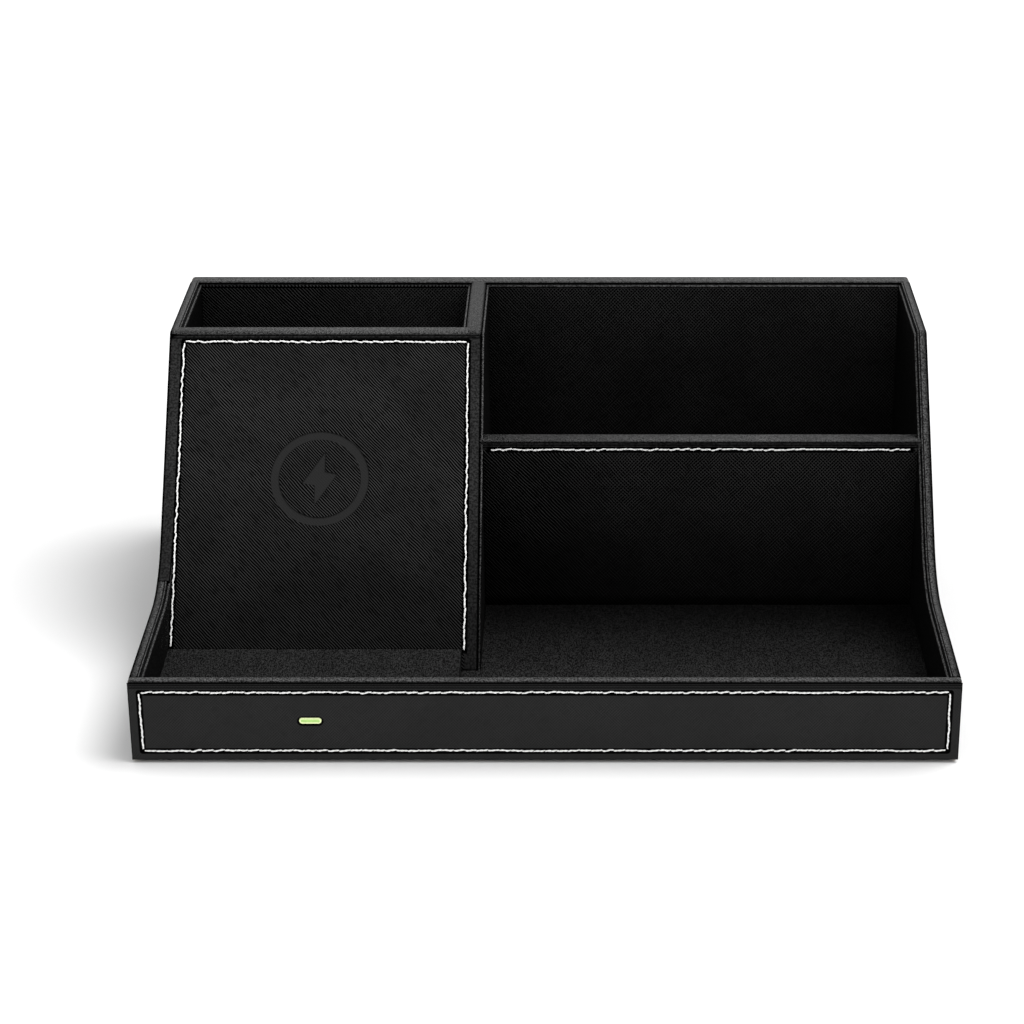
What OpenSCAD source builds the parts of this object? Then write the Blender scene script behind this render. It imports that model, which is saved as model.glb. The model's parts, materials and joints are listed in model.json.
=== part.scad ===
// Desk organiser with a sloping wireless charging rest for a phone.
// Leather-wrapped boards form a pen slot, a rear bay, a low front bay and the phone rest.
// Front is -Y, +X is to the right, +Z is up. The origin is the centre of the footprint on the desk.

/* [Body] */
// Overall width
body_w = 260; // [240:1:290]
// Overall depth
body_d = 186.5; // [182:0.5:195]
// Height of the body at the back, feet left out
body_h = 97.5; // [94:0.5:104]
// Height of the front wall and of the low edge of the side panels
low_h = 27.5; // [25:0.5:30]
// Depth of the level top edge, measured from the back
top_d = 59; // [57:0.5:62]
// Angle of the charging face over the desk, in degrees
slope = 50; // [48:1:52]
// Radius of the hollow curve where a side panel's slope meets its low edge
knee_r = 34; // [25:1:38]
// Height of the feet under the body
foot_h = 1; // [0.8:0.1:2]

/* [Boards] */
// Board thickness of the front wall and the side panels
thin_board = 2.5; // [2:0.1:3]
// Board thickness of the centre divider and the pen slot's front wall
mid_board = 4.5; // [4:0.1:5]
// Board thickness of the back panel and the rear divider
thick_board = 6; // [5:0.1:7]
// Thickness of the base board and of the board behind the charging face
flat_board = 5; // [4.5:0.1:5.5]

/* [Leather] */
// Thickness of the leather wrapped round each board
skin = 0.4; // [0.3:0.1:0.6]
// Thickness of the padded linings and floor sheets inside the bays
lining = 1; // [0.8:0.1:1.2]
// Thickness of the stitched face sheets
sheet = 0.8; // [0.8:0.1:1]
// Drop from a rim to the edge of the lining below it
lining_drop = 1; // [0.8:0.1:1.5]
// Distance between stitches
stitch_pitch = 3.6; // [3:0.1:5]

/* [Bays] */
// Centre of the centre divider, from the middle of the body
divider_x = -25.75; // [-30:0.25:-20]
// Front face of the rear divider, from the front of the body
rear_divider_y = 102; // [98:0.5:106]
// Height of the ledge that the phone stands on
ledge_h = 11.6; // [10:0.2:13]
// Height of the pen slot's floor
pen_floor_h = 26; // [22:1:40]

/* [Charging] */
// Outer diameter of the ring pressed into the charging face
ring_d = 33.2; // [28:0.2:38]
// Distance of the ring and coil centre down the slope from its top corner
coil_drop = 53; // [50:0.5:55]
// Outer diameter of the charging coil
coil_d = 48; // [40:1:50]
// Depth of the ring and the bolt below the charging face
emblem_depth = 0.3; // [0.1:0.05:0.4]

/* [Hidden] */
$fn = 32;

cut = 1;            // how far a cutting shape runs past the face it opens
half_w = body_w / 2;
thin_rim = thin_board + 2 * skin;
mid_rim = mid_board + 2 * skin;
thick_rim = thick_board + 2 * skin;

// Planes of the shell, measured from the front face and the underside of the body
front_out = sheet;                      // front face of the front wrap
front_in = front_out + thin_rim;        // back face of the front wrap
back_in = body_d - thick_rim;           // front face of the back wrap
side_in = half_w - thin_rim;            // inner face of a side wrap
bay_x = side_in - lining;               // lined inner face of a side
bay_front = front_in + lining;          // lined inner face of the front wall
bay_back = back_in - lining;            // lined inner face of the back
base_top = flat_board;
floor_h = base_top + lining;
top_y = body_d - top_d;
knee_y = top_y - (body_h - low_h) / tan(slope);
corner_r = 2;                           // rounding where the level top edge meets the slope
corner_run = corner_r * tan(slope / 2);
flap_end = -65;                         // where the charging sheet's flap ends in the hollow curve

// Centre divider, rear divider and pen slot wall
div_l = divider_x - mid_rim / 2;
div_r = divider_x + mid_rim / 2;
bay_l = div_l - lining;                 // lined left face of the centre divider
bay_r = div_r + lining;                 // lined right face of the centre divider
foot_y = slope_y(base_top);             // where the slope meets the base board
rear_back = rear_divider_y + thick_rim;
rear_top = low_h + (rear_divider_y - knee_y) * tan(slope);
pen_y = top_y - corner_run * cos(slope);
pen_back = pen_y + mid_rim;

// Stitch lines
stitch_w = 1.1;
stitch_t = 0.5;
stitch_gap = 0.5;
channel_w = 1.4;
face_stitch_x = bay_x - 0.8;            // left row on the charging face
face_stitch_r = div_l + 0.9;            // right row on the charging face
face_stitch_top = 3.8;                  // top row, down the slope from the corner
front_stitch_x = half_w - 3.6;
front_stitch_low = 3.2;
front_stitch_high = low_h - 3.8;
divider_stitch_drop = 3;

// Charging module, in the frame of the charging face
ring_x = -77;
ring_w = 2.8;
housing_w = 62;
housing_l = 86;
housing_d = 8.5;
housing_wall = 1.5;
housing_mid = -67;                      // centre of the housing along the slope
cover_t = 1.6;
exit_w = 10;                            // window in the cover for the cables
exit_l = 5;
exit_drop = 4;
coil_t = 1.2;
ferrite_t = 0.8;
front_plate = 1;
screw_inset = 4;
screw_d = 2.2;
screw_head_d = 4;
boss_d = 6;
coil_y = -coil_drop - housing_mid;      // coil centre in the housing's frame
coil_top = -front_plate;
exit_y = slope_point(housing_mid - housing_l / 2 + exit_drop + exit_l / 2,
                     -sheet - housing_d - cover_t).x;

// Indicator light, in the front wall
led_x = -73.4;
led_z = 13.8;
led_w = 7;
led_h = 2;
led_len = 1.9;
pocket_y = front_out + 1.4;             // bottom of the pocket for the light's board
pocket_w = 16;
wire_d = 2;

// Power inlet, low in the back panel behind the pen slot
usb_x = -77;
usb_z = 10.5;
usb_w = 8.94;
usb_h = 3.26;
usb_len = 11;
usb_mouth = body_d - 0.6;
usb_wall = 0.3;
bezel_w = 15;
bezel_h = 8;
bezel_t = 1;
sleeve_w = 11.6;
sleeve_h = 5.8;
pcb_t = 1.2;
port_clear = 0.15;
usb_board_w = 18;
usb_board_l = 16;
usb_board_z = usb_z - usb_h / 2 - pcb_t;

// Underside
foot_d = 12;
foot_sink = 1;                          // depth of a foot's pocket in the base board
foot_inset = 14;
underside_t = 0.4;
underside_margin = 1.5;

// Colours
leather = [0.10, 0.10, 0.105];
lining_colour = [0.07, 0.07, 0.075];
board_colour = [0.62, 0.48, 0.33];
thread = [0.92, 0.92, 0.90];
copper = [0.75, 0.42, 0.22];
pcb_green = [0.05, 0.32, 0.16];
abs_black = [0.14, 0.14, 0.15];

// ---------- Outlines and helpers ----------

// Depth at which the sloping plane passes a height
function slope_y(z) = knee_y + (z - low_h) / tan(slope);

// Point on an arc in the side view
function arc_point(centre, r, a) = centre + r * [cos(a), sin(a)];

// Point in the side view from a place along the slope and a distance out of it
function slope_point(along, out) = [
  top_y + along * cos(slope) - out * sin(slope),
  body_h + along * sin(slope) + out * cos(slope)
];

// The rounded corner at the top of the slope, drawn from the level edge to the slope
function top_corner(inset) = [
  for (a = [90 : slope / 5 : 90 + slope])
    arc_point([top_y + corner_run, body_h - corner_r], corner_r - inset, a)
];

// The hollow curve at the foot of the slope, from the slope to an end angle
function knee(inset, end = -90) = [
  for (i = [0 : 12])
    arc_point([knee_y - knee_r * tan(slope / 2), low_h + knee_r], knee_r + inset,
              slope - 90 + (end - slope + 90) * i / 12)
];

// Side panel outline, its rim moved in by inset and its other edges out by over
function side_outline(inset, low = 0, over = 0) = concat(
  [[front_in - over, low - over], [back_in + over, low - over], [back_in + over, body_h - inset]],
  top_corner(inset),
  knee(inset),
  [[front_in - over, low_h - inset]]
);

// Centre divider outline: the slope runs straight down to the base board
function divider_outline(inset, over = 0) = concat(
  [[slope_y(base_top - over) + inset / sin(slope), base_top - over],
   [back_in + over, base_top - over], [back_in + over, body_h - inset]],
  top_corner(inset)
);

// Places every node over the feet, with its depth centred on the origin
module on_desk() {
  translate([0, -body_d / 2, foot_h]) children();
}

module block(low, high) {
  translate(low) cube(high - low);
}

// Side view outline given a width
module side_slab(x0, x1, outline) {
  translate([x0, 0, 0]) rotate([90, 0, 90]) linear_extrude(x1 - x0) polygon(outline);
}

// Frame of the charging face: X across, Y up the slope, Z out of it
module on_slope() {
  translate([0, top_y, body_h]) rotate([slope, 0, 0]) children();
}

// Frame of an upright face: X across, Y up, Z out of the face towards the front
module on_front(y) {
  translate([0, y, 0]) rotate([90, 0, 0]) children();
}

module stadium(w, h, t) {
  linear_extrude(t) {
    square([w - h, h], center = true);
    for (side = [-1, 1]) translate([side * (w - h) / 2, 0]) circle(d = h);
  }
}

// A leather sleeve: a slab less the board inside it
module sleeve() {
  difference() {
    children(0);
    children(1);
  }
}

// Row of stitches from one corner to another, with their tops in the plane z = 0
module stitch_row(from, to) {
  run = to - from;
  span = norm(run) - stitch_w;
  count = round(span / stitch_pitch);
  step = span / count;
  translate([from.x, from.y, -stitch_t]) rotate([0, 0, atan2(run.y, run.x)])
    for (i = [0 : count - 1])
      translate([(stitch_w + stitch_gap) / 2 + i * step, -stitch_w / 2, 0])
        cube([step - stitch_gap, stitch_w, stitch_t]);
}

// Channel that a row of stitches is sunk in
module stitch_channel(from, to) {
  run = to - from;
  translate([from.x, from.y, -stitch_t]) rotate([0, 0, atan2(run.y, run.x)])
    translate([-channel_w / 2, -channel_w / 2, 0])
      cube([norm(run) + channel_w, channel_w, stitch_t + cut]);
}

// Cable through a list of points
module cable(route, d) {
  for (i = [0 : len(route) - 2]) {
    run = route[i + 1] - route[i];
    translate(route[i])
      rotate([0, acos(run.z / norm(run)), atan2(run.y, run.x)])
        cylinder(d = d, h = norm(run), $fn = 16);
  }
  for (i = [1 : len(route) - 2]) translate(route[i]) sphere(d = d, $fn = 16);
}

// Space of the charging sheet's face, from a depth under the slope to a height over it
module face_space(x0, x1, under, over, low, back = body_d) {
  intersection() {
    side_slab(x0, x1, [
      slope_point(-corner_run, over), slope_point(-corner_run, -under),
      slope_point(-2 * body_d, -under), slope_point(-2 * body_d, over)
    ]);
    block([x0 - cut, -body_d, low], [x1 + cut, back, 2 * body_h]);
  }
}

// Space of the flap that the charging sheet lays over the left side panel's slope
module flap_space(over) {
  side_slab(-half_w + skin, -bay_x, concat(
    [slope_point(-corner_run, over)], knee(-over, flap_end),
    [for (i = [len(knee(0)) - 1 : -1 : 0]) knee(sheet, flap_end)[i]],
    [slope_point(-corner_run, -sheet)]
  ));
}

// ---------- Boards ----------

module base_board() {
  color(board_colour) on_desk() difference() {
    block([-side_in, front_in, 0], [side_in, back_in, base_top]);
    foot_pockets();
  }
}

module front_board() {
  color(board_colour) on_desk() difference() {
    block([-half_w + skin, front_out + skin, 0],
          [half_w - skin, front_in - skin, low_h - skin]);
    led_cut();
  }
}

module left_side_board() {
  color(board_colour) on_desk() difference() {
    side_slab(-half_w + skin, -side_in - skin, side_outline(skin));
    flap_space(cut);
  }
}

module right_side_board() {
  color(board_colour) on_desk()
    side_slab(side_in + skin, half_w - skin, side_outline(skin));
}

module back_board() {
  color(board_colour) on_desk() difference() {
    block([-half_w + skin, back_in + skin, 0],
          [half_w - skin, body_d - skin, body_h - skin]);
    bezel_cut();
  }
}

module centre_divider_board() {
  color(board_colour) on_desk() difference() {
    side_slab(div_l + skin, div_r - skin, divider_outline(skin));
    face_space(div_l, div_r, sheet, cut, 0);
  }
}

module rear_divider_board() {
  color(board_colour) on_desk()
    block([bay_r, rear_divider_y + skin, base_top],
          [bay_x, rear_back - skin, rear_top - skin]);
}

module charging_board() {
  color(board_colour) on_desk() difference() {
    intersection() {
      side_slab(-bay_x, bay_l, [
        slope_point(0, -sheet), slope_point(0, -sheet - flat_board),
        slope_point(-2 * body_h, -sheet - flat_board), slope_point(-2 * body_h, -sheet)
      ]);
      block([-half_w, 0, base_top], [0, pen_y, body_h]);
    }
    housing_cut();
    led_duct();
  }
}

module pen_slot_board() {
  color(board_colour) on_desk() difference() {
    intersection() {
      side_slab(-bay_x, bay_l, side_outline(skin));
      block([-half_w, pen_y + skin, base_top], [0, pen_back - skin, body_h]);
    }
    power_duct();
  }
}

module pen_slot_floor_board() {
  color(board_colour) on_desk()
    block([-bay_x, pen_back + lining, pen_floor_h - lining - thin_board],
          [bay_l, bay_back, pen_floor_h - lining]);
}

module phone_ledge_board() {
  color(board_colour) on_desk() difference() {
    side_slab(-bay_x, bay_l, [
      [bay_front, base_top], [slope_y(base_top) + sheet / sin(slope), base_top],
      [slope_y(ledge_h - lining) + sheet / sin(slope), ledge_h - lining],
      [bay_front, ledge_h - lining]
    ]);
    led_duct();
  }
}

// ---------- Leather wraps ----------

module front_wrap() {
  color(leather) on_desk() difference() {
    block([-half_w, front_out, 0], [half_w, front_in, low_h]);
    block([-half_w + skin, front_out + skin, -cut],
          [half_w - skin, front_in - skin, low_h - skin]);
    led_cut();
    led_duct();
  }
}

module left_side_wrap() {
  color(leather) on_desk() difference() {
    sleeve() {
      side_slab(-half_w, -side_in, side_outline(0));
      side_slab(-half_w + skin, -side_in - skin, side_outline(skin, 0, cut));
    }
    flap_space(cut);
  }
}

module right_side_wrap() {
  color(leather) on_desk() sleeve() {
    side_slab(side_in, half_w, side_outline(0));
    side_slab(side_in + skin, half_w - skin, side_outline(skin, 0, cut));
  }
}

module back_wrap() {
  color(leather) on_desk() difference() {
    block([-half_w, back_in, 0], [half_w, body_d, body_h]);
    block([-half_w + skin, back_in + skin, -cut],
          [half_w - skin, body_d - skin, body_h - skin]);
    bezel_cut();
  }
}

module centre_divider_wrap() {
  color(leather) on_desk() difference() {
    sleeve() {
      side_slab(div_l, div_r, divider_outline(0));
      side_slab(div_l + skin, div_r - skin, divider_outline(skin, cut));
    }
    face_space(div_l - cut, div_r + cut, sheet, cut, 0);
  }
}

module rear_divider_wrap() {
  color(leather) on_desk() sleeve() {
    block([bay_r, rear_divider_y, base_top], [bay_x, rear_back, rear_top]);
    block([bay_r - cut, rear_divider_y + skin, base_top - cut],
          [bay_x + cut, rear_back - skin, rear_top - skin]);
  }
}

module pen_slot_wrap() {
  color(leather) on_desk() difference() {
    intersection() {
      side_slab(-bay_x, bay_l, side_outline(0));
      block([-half_w, pen_y, base_top], [0, pen_back, 2 * body_h]);
    }
    intersection() {
      side_slab(-bay_x - cut, bay_l + cut, side_outline(skin));
      block([-half_w, pen_y + skin, base_top - cut], [0, pen_back - skin, body_h]);
    }
    power_duct();
  }
}

// ---------- Stitched face sheets ----------

module front_stitch_lines() {
  corners = [
    [-front_stitch_x, front_stitch_low], [front_stitch_x, front_stitch_low],
    [front_stitch_x, front_stitch_high], [-front_stitch_x, front_stitch_high]
  ];
  on_front(0) for (i = [0 : 3]) {
    $from = corners[i];
    $to = corners[(i + 1) % 4];
    children();
  }
}

module charging_stitch_lines() {
  ledge_end = (ledge_h - body_h) / sin(slope);
  floor_end = (ledge_h - 1 - body_h) / sin(slope);
  corners = [
    [-face_stitch_x, ledge_end + channel_w], [-face_stitch_x, -face_stitch_top],
    [face_stitch_r, -face_stitch_top], [face_stitch_r, floor_end]
  ];
  on_slope() for (i = [0 : 2]) {
    $from = corners[i];
    $to = corners[i + 1];
    children();
  }
}

module divider_stitch_line() {
  on_front(rear_divider_y - sheet) {
    $from = [bay_r + channel_w, rear_top - divider_stitch_drop];
    $to = [bay_x - channel_w, rear_top - divider_stitch_drop];
    children();
  }
}

module front_face_sheet() {
  color(leather) on_desk() difference() {
    block([-half_w, 0, 0], [half_w, sheet, low_h - lining_drop / 2]);
    front_stitch_lines() stitch_channel($from, $to);
    led_cut();
  }
}

// Generic lightning bolt: one half, and the same half turned round
module bolt_outline() {
  half = [[1.7, 9.5], [-5.9, -1.6], [-1.7, -2.4]];
  polygon(concat(half, [for (p = half) -p]));
}

module emblem_cut() {
  on_slope() translate([ring_x, -coil_drop, -emblem_depth]) {
    difference() {
      cylinder(d = ring_d, h = emblem_depth + cut, $fn = 96);
      translate([0, 0, -cut])
        cylinder(d = ring_d - 2 * ring_w, h = emblem_depth + 3 * cut, $fn = 96);
    }
    linear_extrude(emblem_depth + cut) bolt_outline();
  }
}

module charging_face_sheet() {
  color(leather) on_desk() difference() {
    union() {
      face_space(-bay_x, div_l, sheet, 0, ledge_h, pen_y);
      face_space(div_l, div_r, sheet, 0, floor_h);
      flap_space(0);
    }
    emblem_cut();
    charging_stitch_lines() stitch_channel($from, $to);
  }
}

module divider_face_sheet() {
  color(leather) on_desk() difference() {
    block([bay_r, rear_divider_y - sheet, floor_h],
          [bay_x, rear_divider_y, rear_top - lining_drop / 2]);
    divider_stitch_line() stitch_channel($from, $to);
  }
}

module front_stitching() {
  color(thread) on_desk() front_stitch_lines() stitch_row($from, $to);
}

module charging_stitching() {
  color(thread) on_desk() charging_stitch_lines() stitch_row($from, $to);
}

module divider_stitching() {
  color(thread) on_desk() divider_stitch_line() stitch_row($from, $to);
}

// ---------- Linings and floor sheets ----------

// Space in front of the slope, from a height up to the ledge
module ledge_slab(x0, x1, low) {
  side_slab(x0, x1, [
    [bay_front, low], [slope_y(low), low], [slope_y(ledge_h), ledge_h], [bay_front, ledge_h]
  ]);
}

module front_lining() {
  color(lining_colour) on_desk() difference() {
    block([-bay_x, front_in, base_top], [bay_x, bay_front, low_h - lining_drop]);
    led_duct();
  }
}

module left_side_lining() {
  color(lining_colour) on_desk() difference() {
    side_slab(-side_in, -bay_x, side_outline(lining_drop, base_top));
    flap_space(cut);
  }
}

module right_side_lining() {
  color(lining_colour) on_desk()
    side_slab(bay_x, side_in, side_outline(lining_drop, base_top));
}

module back_lining() {
  color(lining_colour) on_desk() difference() {
    block([-bay_x, bay_back, base_top], [bay_x, back_in, body_h - lining_drop]);
    block([bay_l, bay_back - cut, 0], [bay_r, back_in + cut, body_h]);
    bezel_cut();
  }
}

module centre_divider_lining() {
  color(lining_colour) on_desk() for (x = [bay_l, div_r])
    side_slab(x, x + lining, divider_outline(lining_drop));
}

module rear_divider_lining() {
  color(lining_colour) on_desk()
    block([bay_r, rear_back, base_top], [bay_x, rear_back + lining, rear_top - lining_drop]);
}

module pen_slot_lining() {
  color(lining_colour) on_desk() difference() {
    block([-bay_x, pen_back, base_top], [bay_l, pen_back + lining, body_h - lining_drop]);
    power_duct();
  }
}

module front_floor_sheet() {
  color(lining_colour) on_desk() {
    block([div_l, bay_front, base_top], [bay_r, foot_y, floor_h]);
    block([bay_r, bay_front, base_top], [bay_x, rear_divider_y - sheet, floor_h]);
  }
}

module rear_floor_sheet() {
  color(lining_colour) on_desk()
    block([bay_r, rear_back + lining, base_top], [bay_x, bay_back, floor_h]);
}

module pen_slot_floor_sheet() {
  color(lining_colour) on_desk()
    block([-bay_x, pen_back + lining, pen_floor_h - lining], [bay_l, bay_back, pen_floor_h]);
}

// Sheet over the ledge, folded down over its right end
module phone_ledge_sheet() {
  color(lining_colour) on_desk() {
    ledge_slab(-bay_x, bay_l, ledge_h - lining);
    ledge_slab(bay_l, div_l, base_top);
  }
}

// ---------- Underside ----------

module at_feet() {
  for (x = [-1, 1], y = [foot_inset, body_d - foot_inset])
    translate([x * (half_w - foot_inset), y, 0]) children();
}

module foot_pockets() {
  at_feet() translate([0, 0, -cut]) cylinder(d = foot_d, h = cut + foot_sink);
}

module underside_sheet() {
  color(leather) on_desk() difference() {
    block([-half_w + underside_margin, underside_margin, -underside_t],
          [half_w - underside_margin, body_d - underside_margin, 0]);
    at_feet() translate([0, 0, -cut]) cylinder(d = foot_d, h = 2 * cut);
  }
}

module rubber_feet() {
  color([0.2, 0.2, 0.2]) on_desk() at_feet()
    translate([0, 0, -foot_h]) cylinder(d = foot_d, h = foot_h + foot_sink);
}

// ---------- Charging module ----------

module at_housing() {
  on_slope() translate([ring_x, housing_mid, -sheet]) children();
}

module housing_cut() {
  at_housing() translate([-housing_w / 2, -housing_l / 2, -flat_board - 2 * cut])
    cube([housing_w, housing_l, flat_board + 3 * cut]);
}

module at_screws() {
  for (x = [-1, 1], y = [-1, 1])
    translate([x * (housing_w / 2 - screw_inset), y * (housing_l / 2 - screw_inset), 0])
      children();
}

module coil_housing() {
  inner_w = housing_w - 2 * housing_wall;
  inner_l = housing_l - 2 * housing_wall;
  color(abs_black) on_desk() at_housing() difference() {
    translate([-housing_w / 2, -housing_l / 2, -housing_d])
      cube([housing_w, housing_l, housing_d]);
    difference() {
      translate([-inner_w / 2, -inner_l / 2, -housing_d - cut])
        cube([inner_w, inner_l, housing_d + cut - front_plate]);
      at_screws() translate([0, 0, -housing_d - cut]) cylinder(d = boss_d, h = housing_d);
    }
    at_screws() translate([0, 0, -housing_d - cut]) cylinder(d = screw_d, h = 5 + cut);
  }
}

module housing_cover() {
  color(abs_black) on_desk() at_housing() difference() {
    translate([-housing_w / 2, -housing_l / 2, -housing_d - cover_t])
      cube([housing_w, housing_l, cover_t]);
    at_screws() translate([0, 0, -housing_d - 2 * cover_t])
      cylinder(d = screw_d, h = 3 * cover_t);
    translate([-exit_w / 2, -housing_l / 2 + exit_drop, -housing_d - 2 * cover_t])
      cube([exit_w, exit_l, 3 * cover_t]);
  }
}

module housing_screws() {
  head_t = 1.4;
  color("silver") on_desk() at_housing() at_screws() {
    translate([0, 0, -housing_d - cover_t]) cylinder(d = screw_d, h = cover_t + 4.5);
    translate([0, 0, -housing_d - cover_t - head_t]) cylinder(d = screw_head_d, h = head_t);
  }
}

module charging_coil() {
  lead_w = 1.2;
  lead_l = 8;
  color(copper) on_desk() at_housing() {
    translate([0, coil_y, coil_top - coil_t]) difference() {
      cylinder(d = coil_d, h = coil_t, $fn = 64);
      translate([0, 0, -cut]) cylinder(d = coil_d * 0.42, h = coil_t + 2 * cut, $fn = 64);
    }
    for (x = [-5, 5])
      translate([x - lead_w / 2, coil_y - coil_d / 2 - lead_l + 1, coil_top - coil_t])
        cube([lead_w, lead_l, coil_t]);
  }
}

module ferrite_sheet() {
  side = coil_d - 1;
  color([0.25, 0.24, 0.23]) on_desk() at_housing()
    translate([-side / 2, coil_y - side / 2, coil_top - coil_t - ferrite_t])
      cube([side, side, ferrite_t]);
}

module charger_board() {
  board_w = 44;
  board_l = 20;
  face = coil_top - coil_t - ferrite_t - 0.2;
  low = -housing_l / 2 + housing_wall + 1;
  color(pcb_green) on_desk() at_housing() translate([-board_w / 2, low, face - pcb_t]) {
    cube([board_w, board_l, pcb_t]);
    for (part = [[4, 4, 6, 6, 1.2], [14, 5, 7, 7, 3], [25, 4, 4, 9, 1.4], [33, 5, 7, 5, 2.4]])
      translate([part[0], part[1] + 3, -part[4]]) cube([part[2], part[3], part[4]]);
  }
}

// ---------- Indicator light ----------

// Hole for the light's lens, and the pocket for its board behind it
module led_cut() {
  on_front(pocket_y + cut) translate([led_x, led_z, 0])
    stadium(led_w, led_h, pocket_y + 2 * cut);
  block([led_x - pocket_w / 2, pocket_y, base_top],
        [led_x + pocket_w / 2, front_in + cut - 2 * skin, led_z + led_h]);
}

// Duct for the light's cable, along the base board under the ledge
module led_duct() {
  block([led_x - wire_d, front_in - skin - cut, base_top - cut],
        [led_x + wire_d, 2 * housing_w, base_top + 1.5 * wire_d]);
}

module led_lens() {
  color([0.72, 0.85, 0.35]) on_desk() on_front(led_len)
    translate([led_x, led_z, 0]) stadium(led_w, led_h, led_len);
}

module led_board() {
  led_t = 0.3;
  board_t = 0.6;
  board_h = 8;
  color(pcb_green) on_desk() {
    block([led_x - 6, pocket_y + led_t, led_z + led_h - board_h],
          [led_x + 6, pocket_y + led_t + board_t, led_z + led_h]);
    block([led_x - 1.5, pocket_y, led_z - 0.7], [led_x + 1.5, pocket_y + led_t, led_z + 0.7]);
  }
}

module led_cable() {
  d = wire_d / 2;
  y = pocket_y + 1.4;
  z = base_top + d / 2;
  color("dimgray") on_desk() cable([
    [led_x, y, led_z - 5], [led_x, y, z],
    [led_x, exit_y, z], [led_x, exit_y, z + 4]
  ], d);
}

// ---------- Power inlet ----------

// Hole for the inlet's sleeve and the recess for its rim
module bezel_cut() {
  on_front(body_d + cut) translate([usb_x, usb_z, 0]) {
    stadium(bezel_w, bezel_h, bezel_t + cut);
    stadium(sleeve_w, sleeve_h, body_d);
  }
}

// Hole for the power cable through the foot of the pen slot's front wall
module power_duct() {
  on_front(pen_back + 2 * lining) translate([usb_x, usb_z, 0])
    cylinder(d = 3 * wire_d, h = mid_rim + 4 * lining);
}

module usb_bezel() {
  color(abs_black) on_desk() difference() {
    on_front(body_d) translate([usb_x, usb_z, 0]) {
      stadium(bezel_w, bezel_h, bezel_t);
      stadium(sleeve_w, sleeve_h, body_d - bay_back);
    }
    on_front(body_d + cut) translate([usb_x, usb_z, 0])
      stadium(usb_w + 2 * port_clear, usb_h + 2 * port_clear, body_d);
  }
}

module usb_receptacle() {
  tongue_w = 6.6;
  tongue_t = 0.7;
  back_wall = 3;
  color("silver") on_desk() on_front(usb_mouth) translate([usb_x, usb_z, 0]) {
    difference() {
      stadium(usb_w, usb_h, usb_len);
      translate([0, 0, -cut])
        stadium(usb_w - 2 * usb_wall, usb_h - 2 * usb_wall, usb_len + cut - back_wall);
    }
    translate([-tongue_w / 2, -tongue_t / 2, 1]) cube([tongue_w, tongue_t, usb_len - back_wall]);
  }
}

module usb_board() {
  back = bay_back - 1;
  color(pcb_green) on_desk() {
    block([usb_x - usb_board_w / 2, back - usb_board_l, usb_board_z],
          [usb_x + usb_board_w / 2, back, usb_board_z + pcb_t]);
    block([usb_x - 4, back - usb_board_l + 1, usb_board_z + pcb_t],
          [usb_x + 4, back - usb_board_l + 4, usb_board_z + pcb_t + 1.2]);
  }
}

module usb_bracket() {
  back = bay_back - 1;
  color(abs_black) on_desk()
    block([usb_x - usb_board_w / 2, back - usb_board_l, base_top],
          [usb_x + usb_board_w / 2, back, usb_board_z]);
}

module power_cable() {
  start = bay_back - 1 - usb_board_l;
  color("dimgray") on_desk() cable([
    [usb_x, start, usb_board_z + pcb_t], [usb_x, exit_y, usb_board_z + pcb_t]
  ], wire_d);
}

base_board();
front_board();
left_side_board();
right_side_board();
back_board();
centre_divider_board();
rear_divider_board();
charging_board();
pen_slot_board();
pen_slot_floor_board();
phone_ledge_board();
front_wrap();
left_side_wrap();
right_side_wrap();
back_wrap();
centre_divider_wrap();
rear_divider_wrap();
pen_slot_wrap();
front_face_sheet();
charging_face_sheet();
divider_face_sheet();
front_lining();
left_side_lining();
right_side_lining();
back_lining();
centre_divider_lining();
rear_divider_lining();
pen_slot_lining();
front_floor_sheet();
rear_floor_sheet();
pen_slot_floor_sheet();
phone_ledge_sheet();
underside_sheet();
rubber_feet();
front_stitching();
charging_stitching();
divider_stitching();
led_lens();
led_board();
coil_housing();
housing_cover();
housing_screws();
charging_coil();
ferrite_sheet();
charger_board();
usb_bezel();
usb_receptacle();
usb_board();
usb_bracket();
power_cable();
led_cable();
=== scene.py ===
"""Looks of a leather desk organiser with a wireless charging rest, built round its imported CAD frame.

Lengths are in millimetres until a mesh is made, in the frame's own axes: +X right, -Y front, +Z up.
"""
import json
import random
from math import atan2, copysign, cos, pi, radians, sin, tan

import bmesh
import bpy
import numpy as np
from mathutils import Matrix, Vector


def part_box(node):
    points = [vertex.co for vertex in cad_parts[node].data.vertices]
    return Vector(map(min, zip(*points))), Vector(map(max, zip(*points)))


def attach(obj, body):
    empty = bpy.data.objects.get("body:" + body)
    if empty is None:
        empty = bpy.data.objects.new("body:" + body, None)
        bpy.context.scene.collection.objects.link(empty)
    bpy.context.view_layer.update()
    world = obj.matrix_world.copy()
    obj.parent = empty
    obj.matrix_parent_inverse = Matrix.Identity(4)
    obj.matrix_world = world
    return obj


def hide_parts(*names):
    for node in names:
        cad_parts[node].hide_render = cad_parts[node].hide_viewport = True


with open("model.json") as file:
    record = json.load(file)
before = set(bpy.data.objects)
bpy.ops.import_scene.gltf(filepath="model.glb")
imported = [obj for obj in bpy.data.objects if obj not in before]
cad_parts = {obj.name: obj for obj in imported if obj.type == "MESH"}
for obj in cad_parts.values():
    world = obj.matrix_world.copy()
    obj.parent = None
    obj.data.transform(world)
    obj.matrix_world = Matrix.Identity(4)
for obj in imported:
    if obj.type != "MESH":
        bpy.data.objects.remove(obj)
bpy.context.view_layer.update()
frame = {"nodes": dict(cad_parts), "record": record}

# ---------- Measures, from the frame ----------

MM = 0.001


def corners(node):
    """Lowest and highest corner of a CAD node, in millimetres."""
    low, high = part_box(node)
    return low / MM, high / MM


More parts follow.
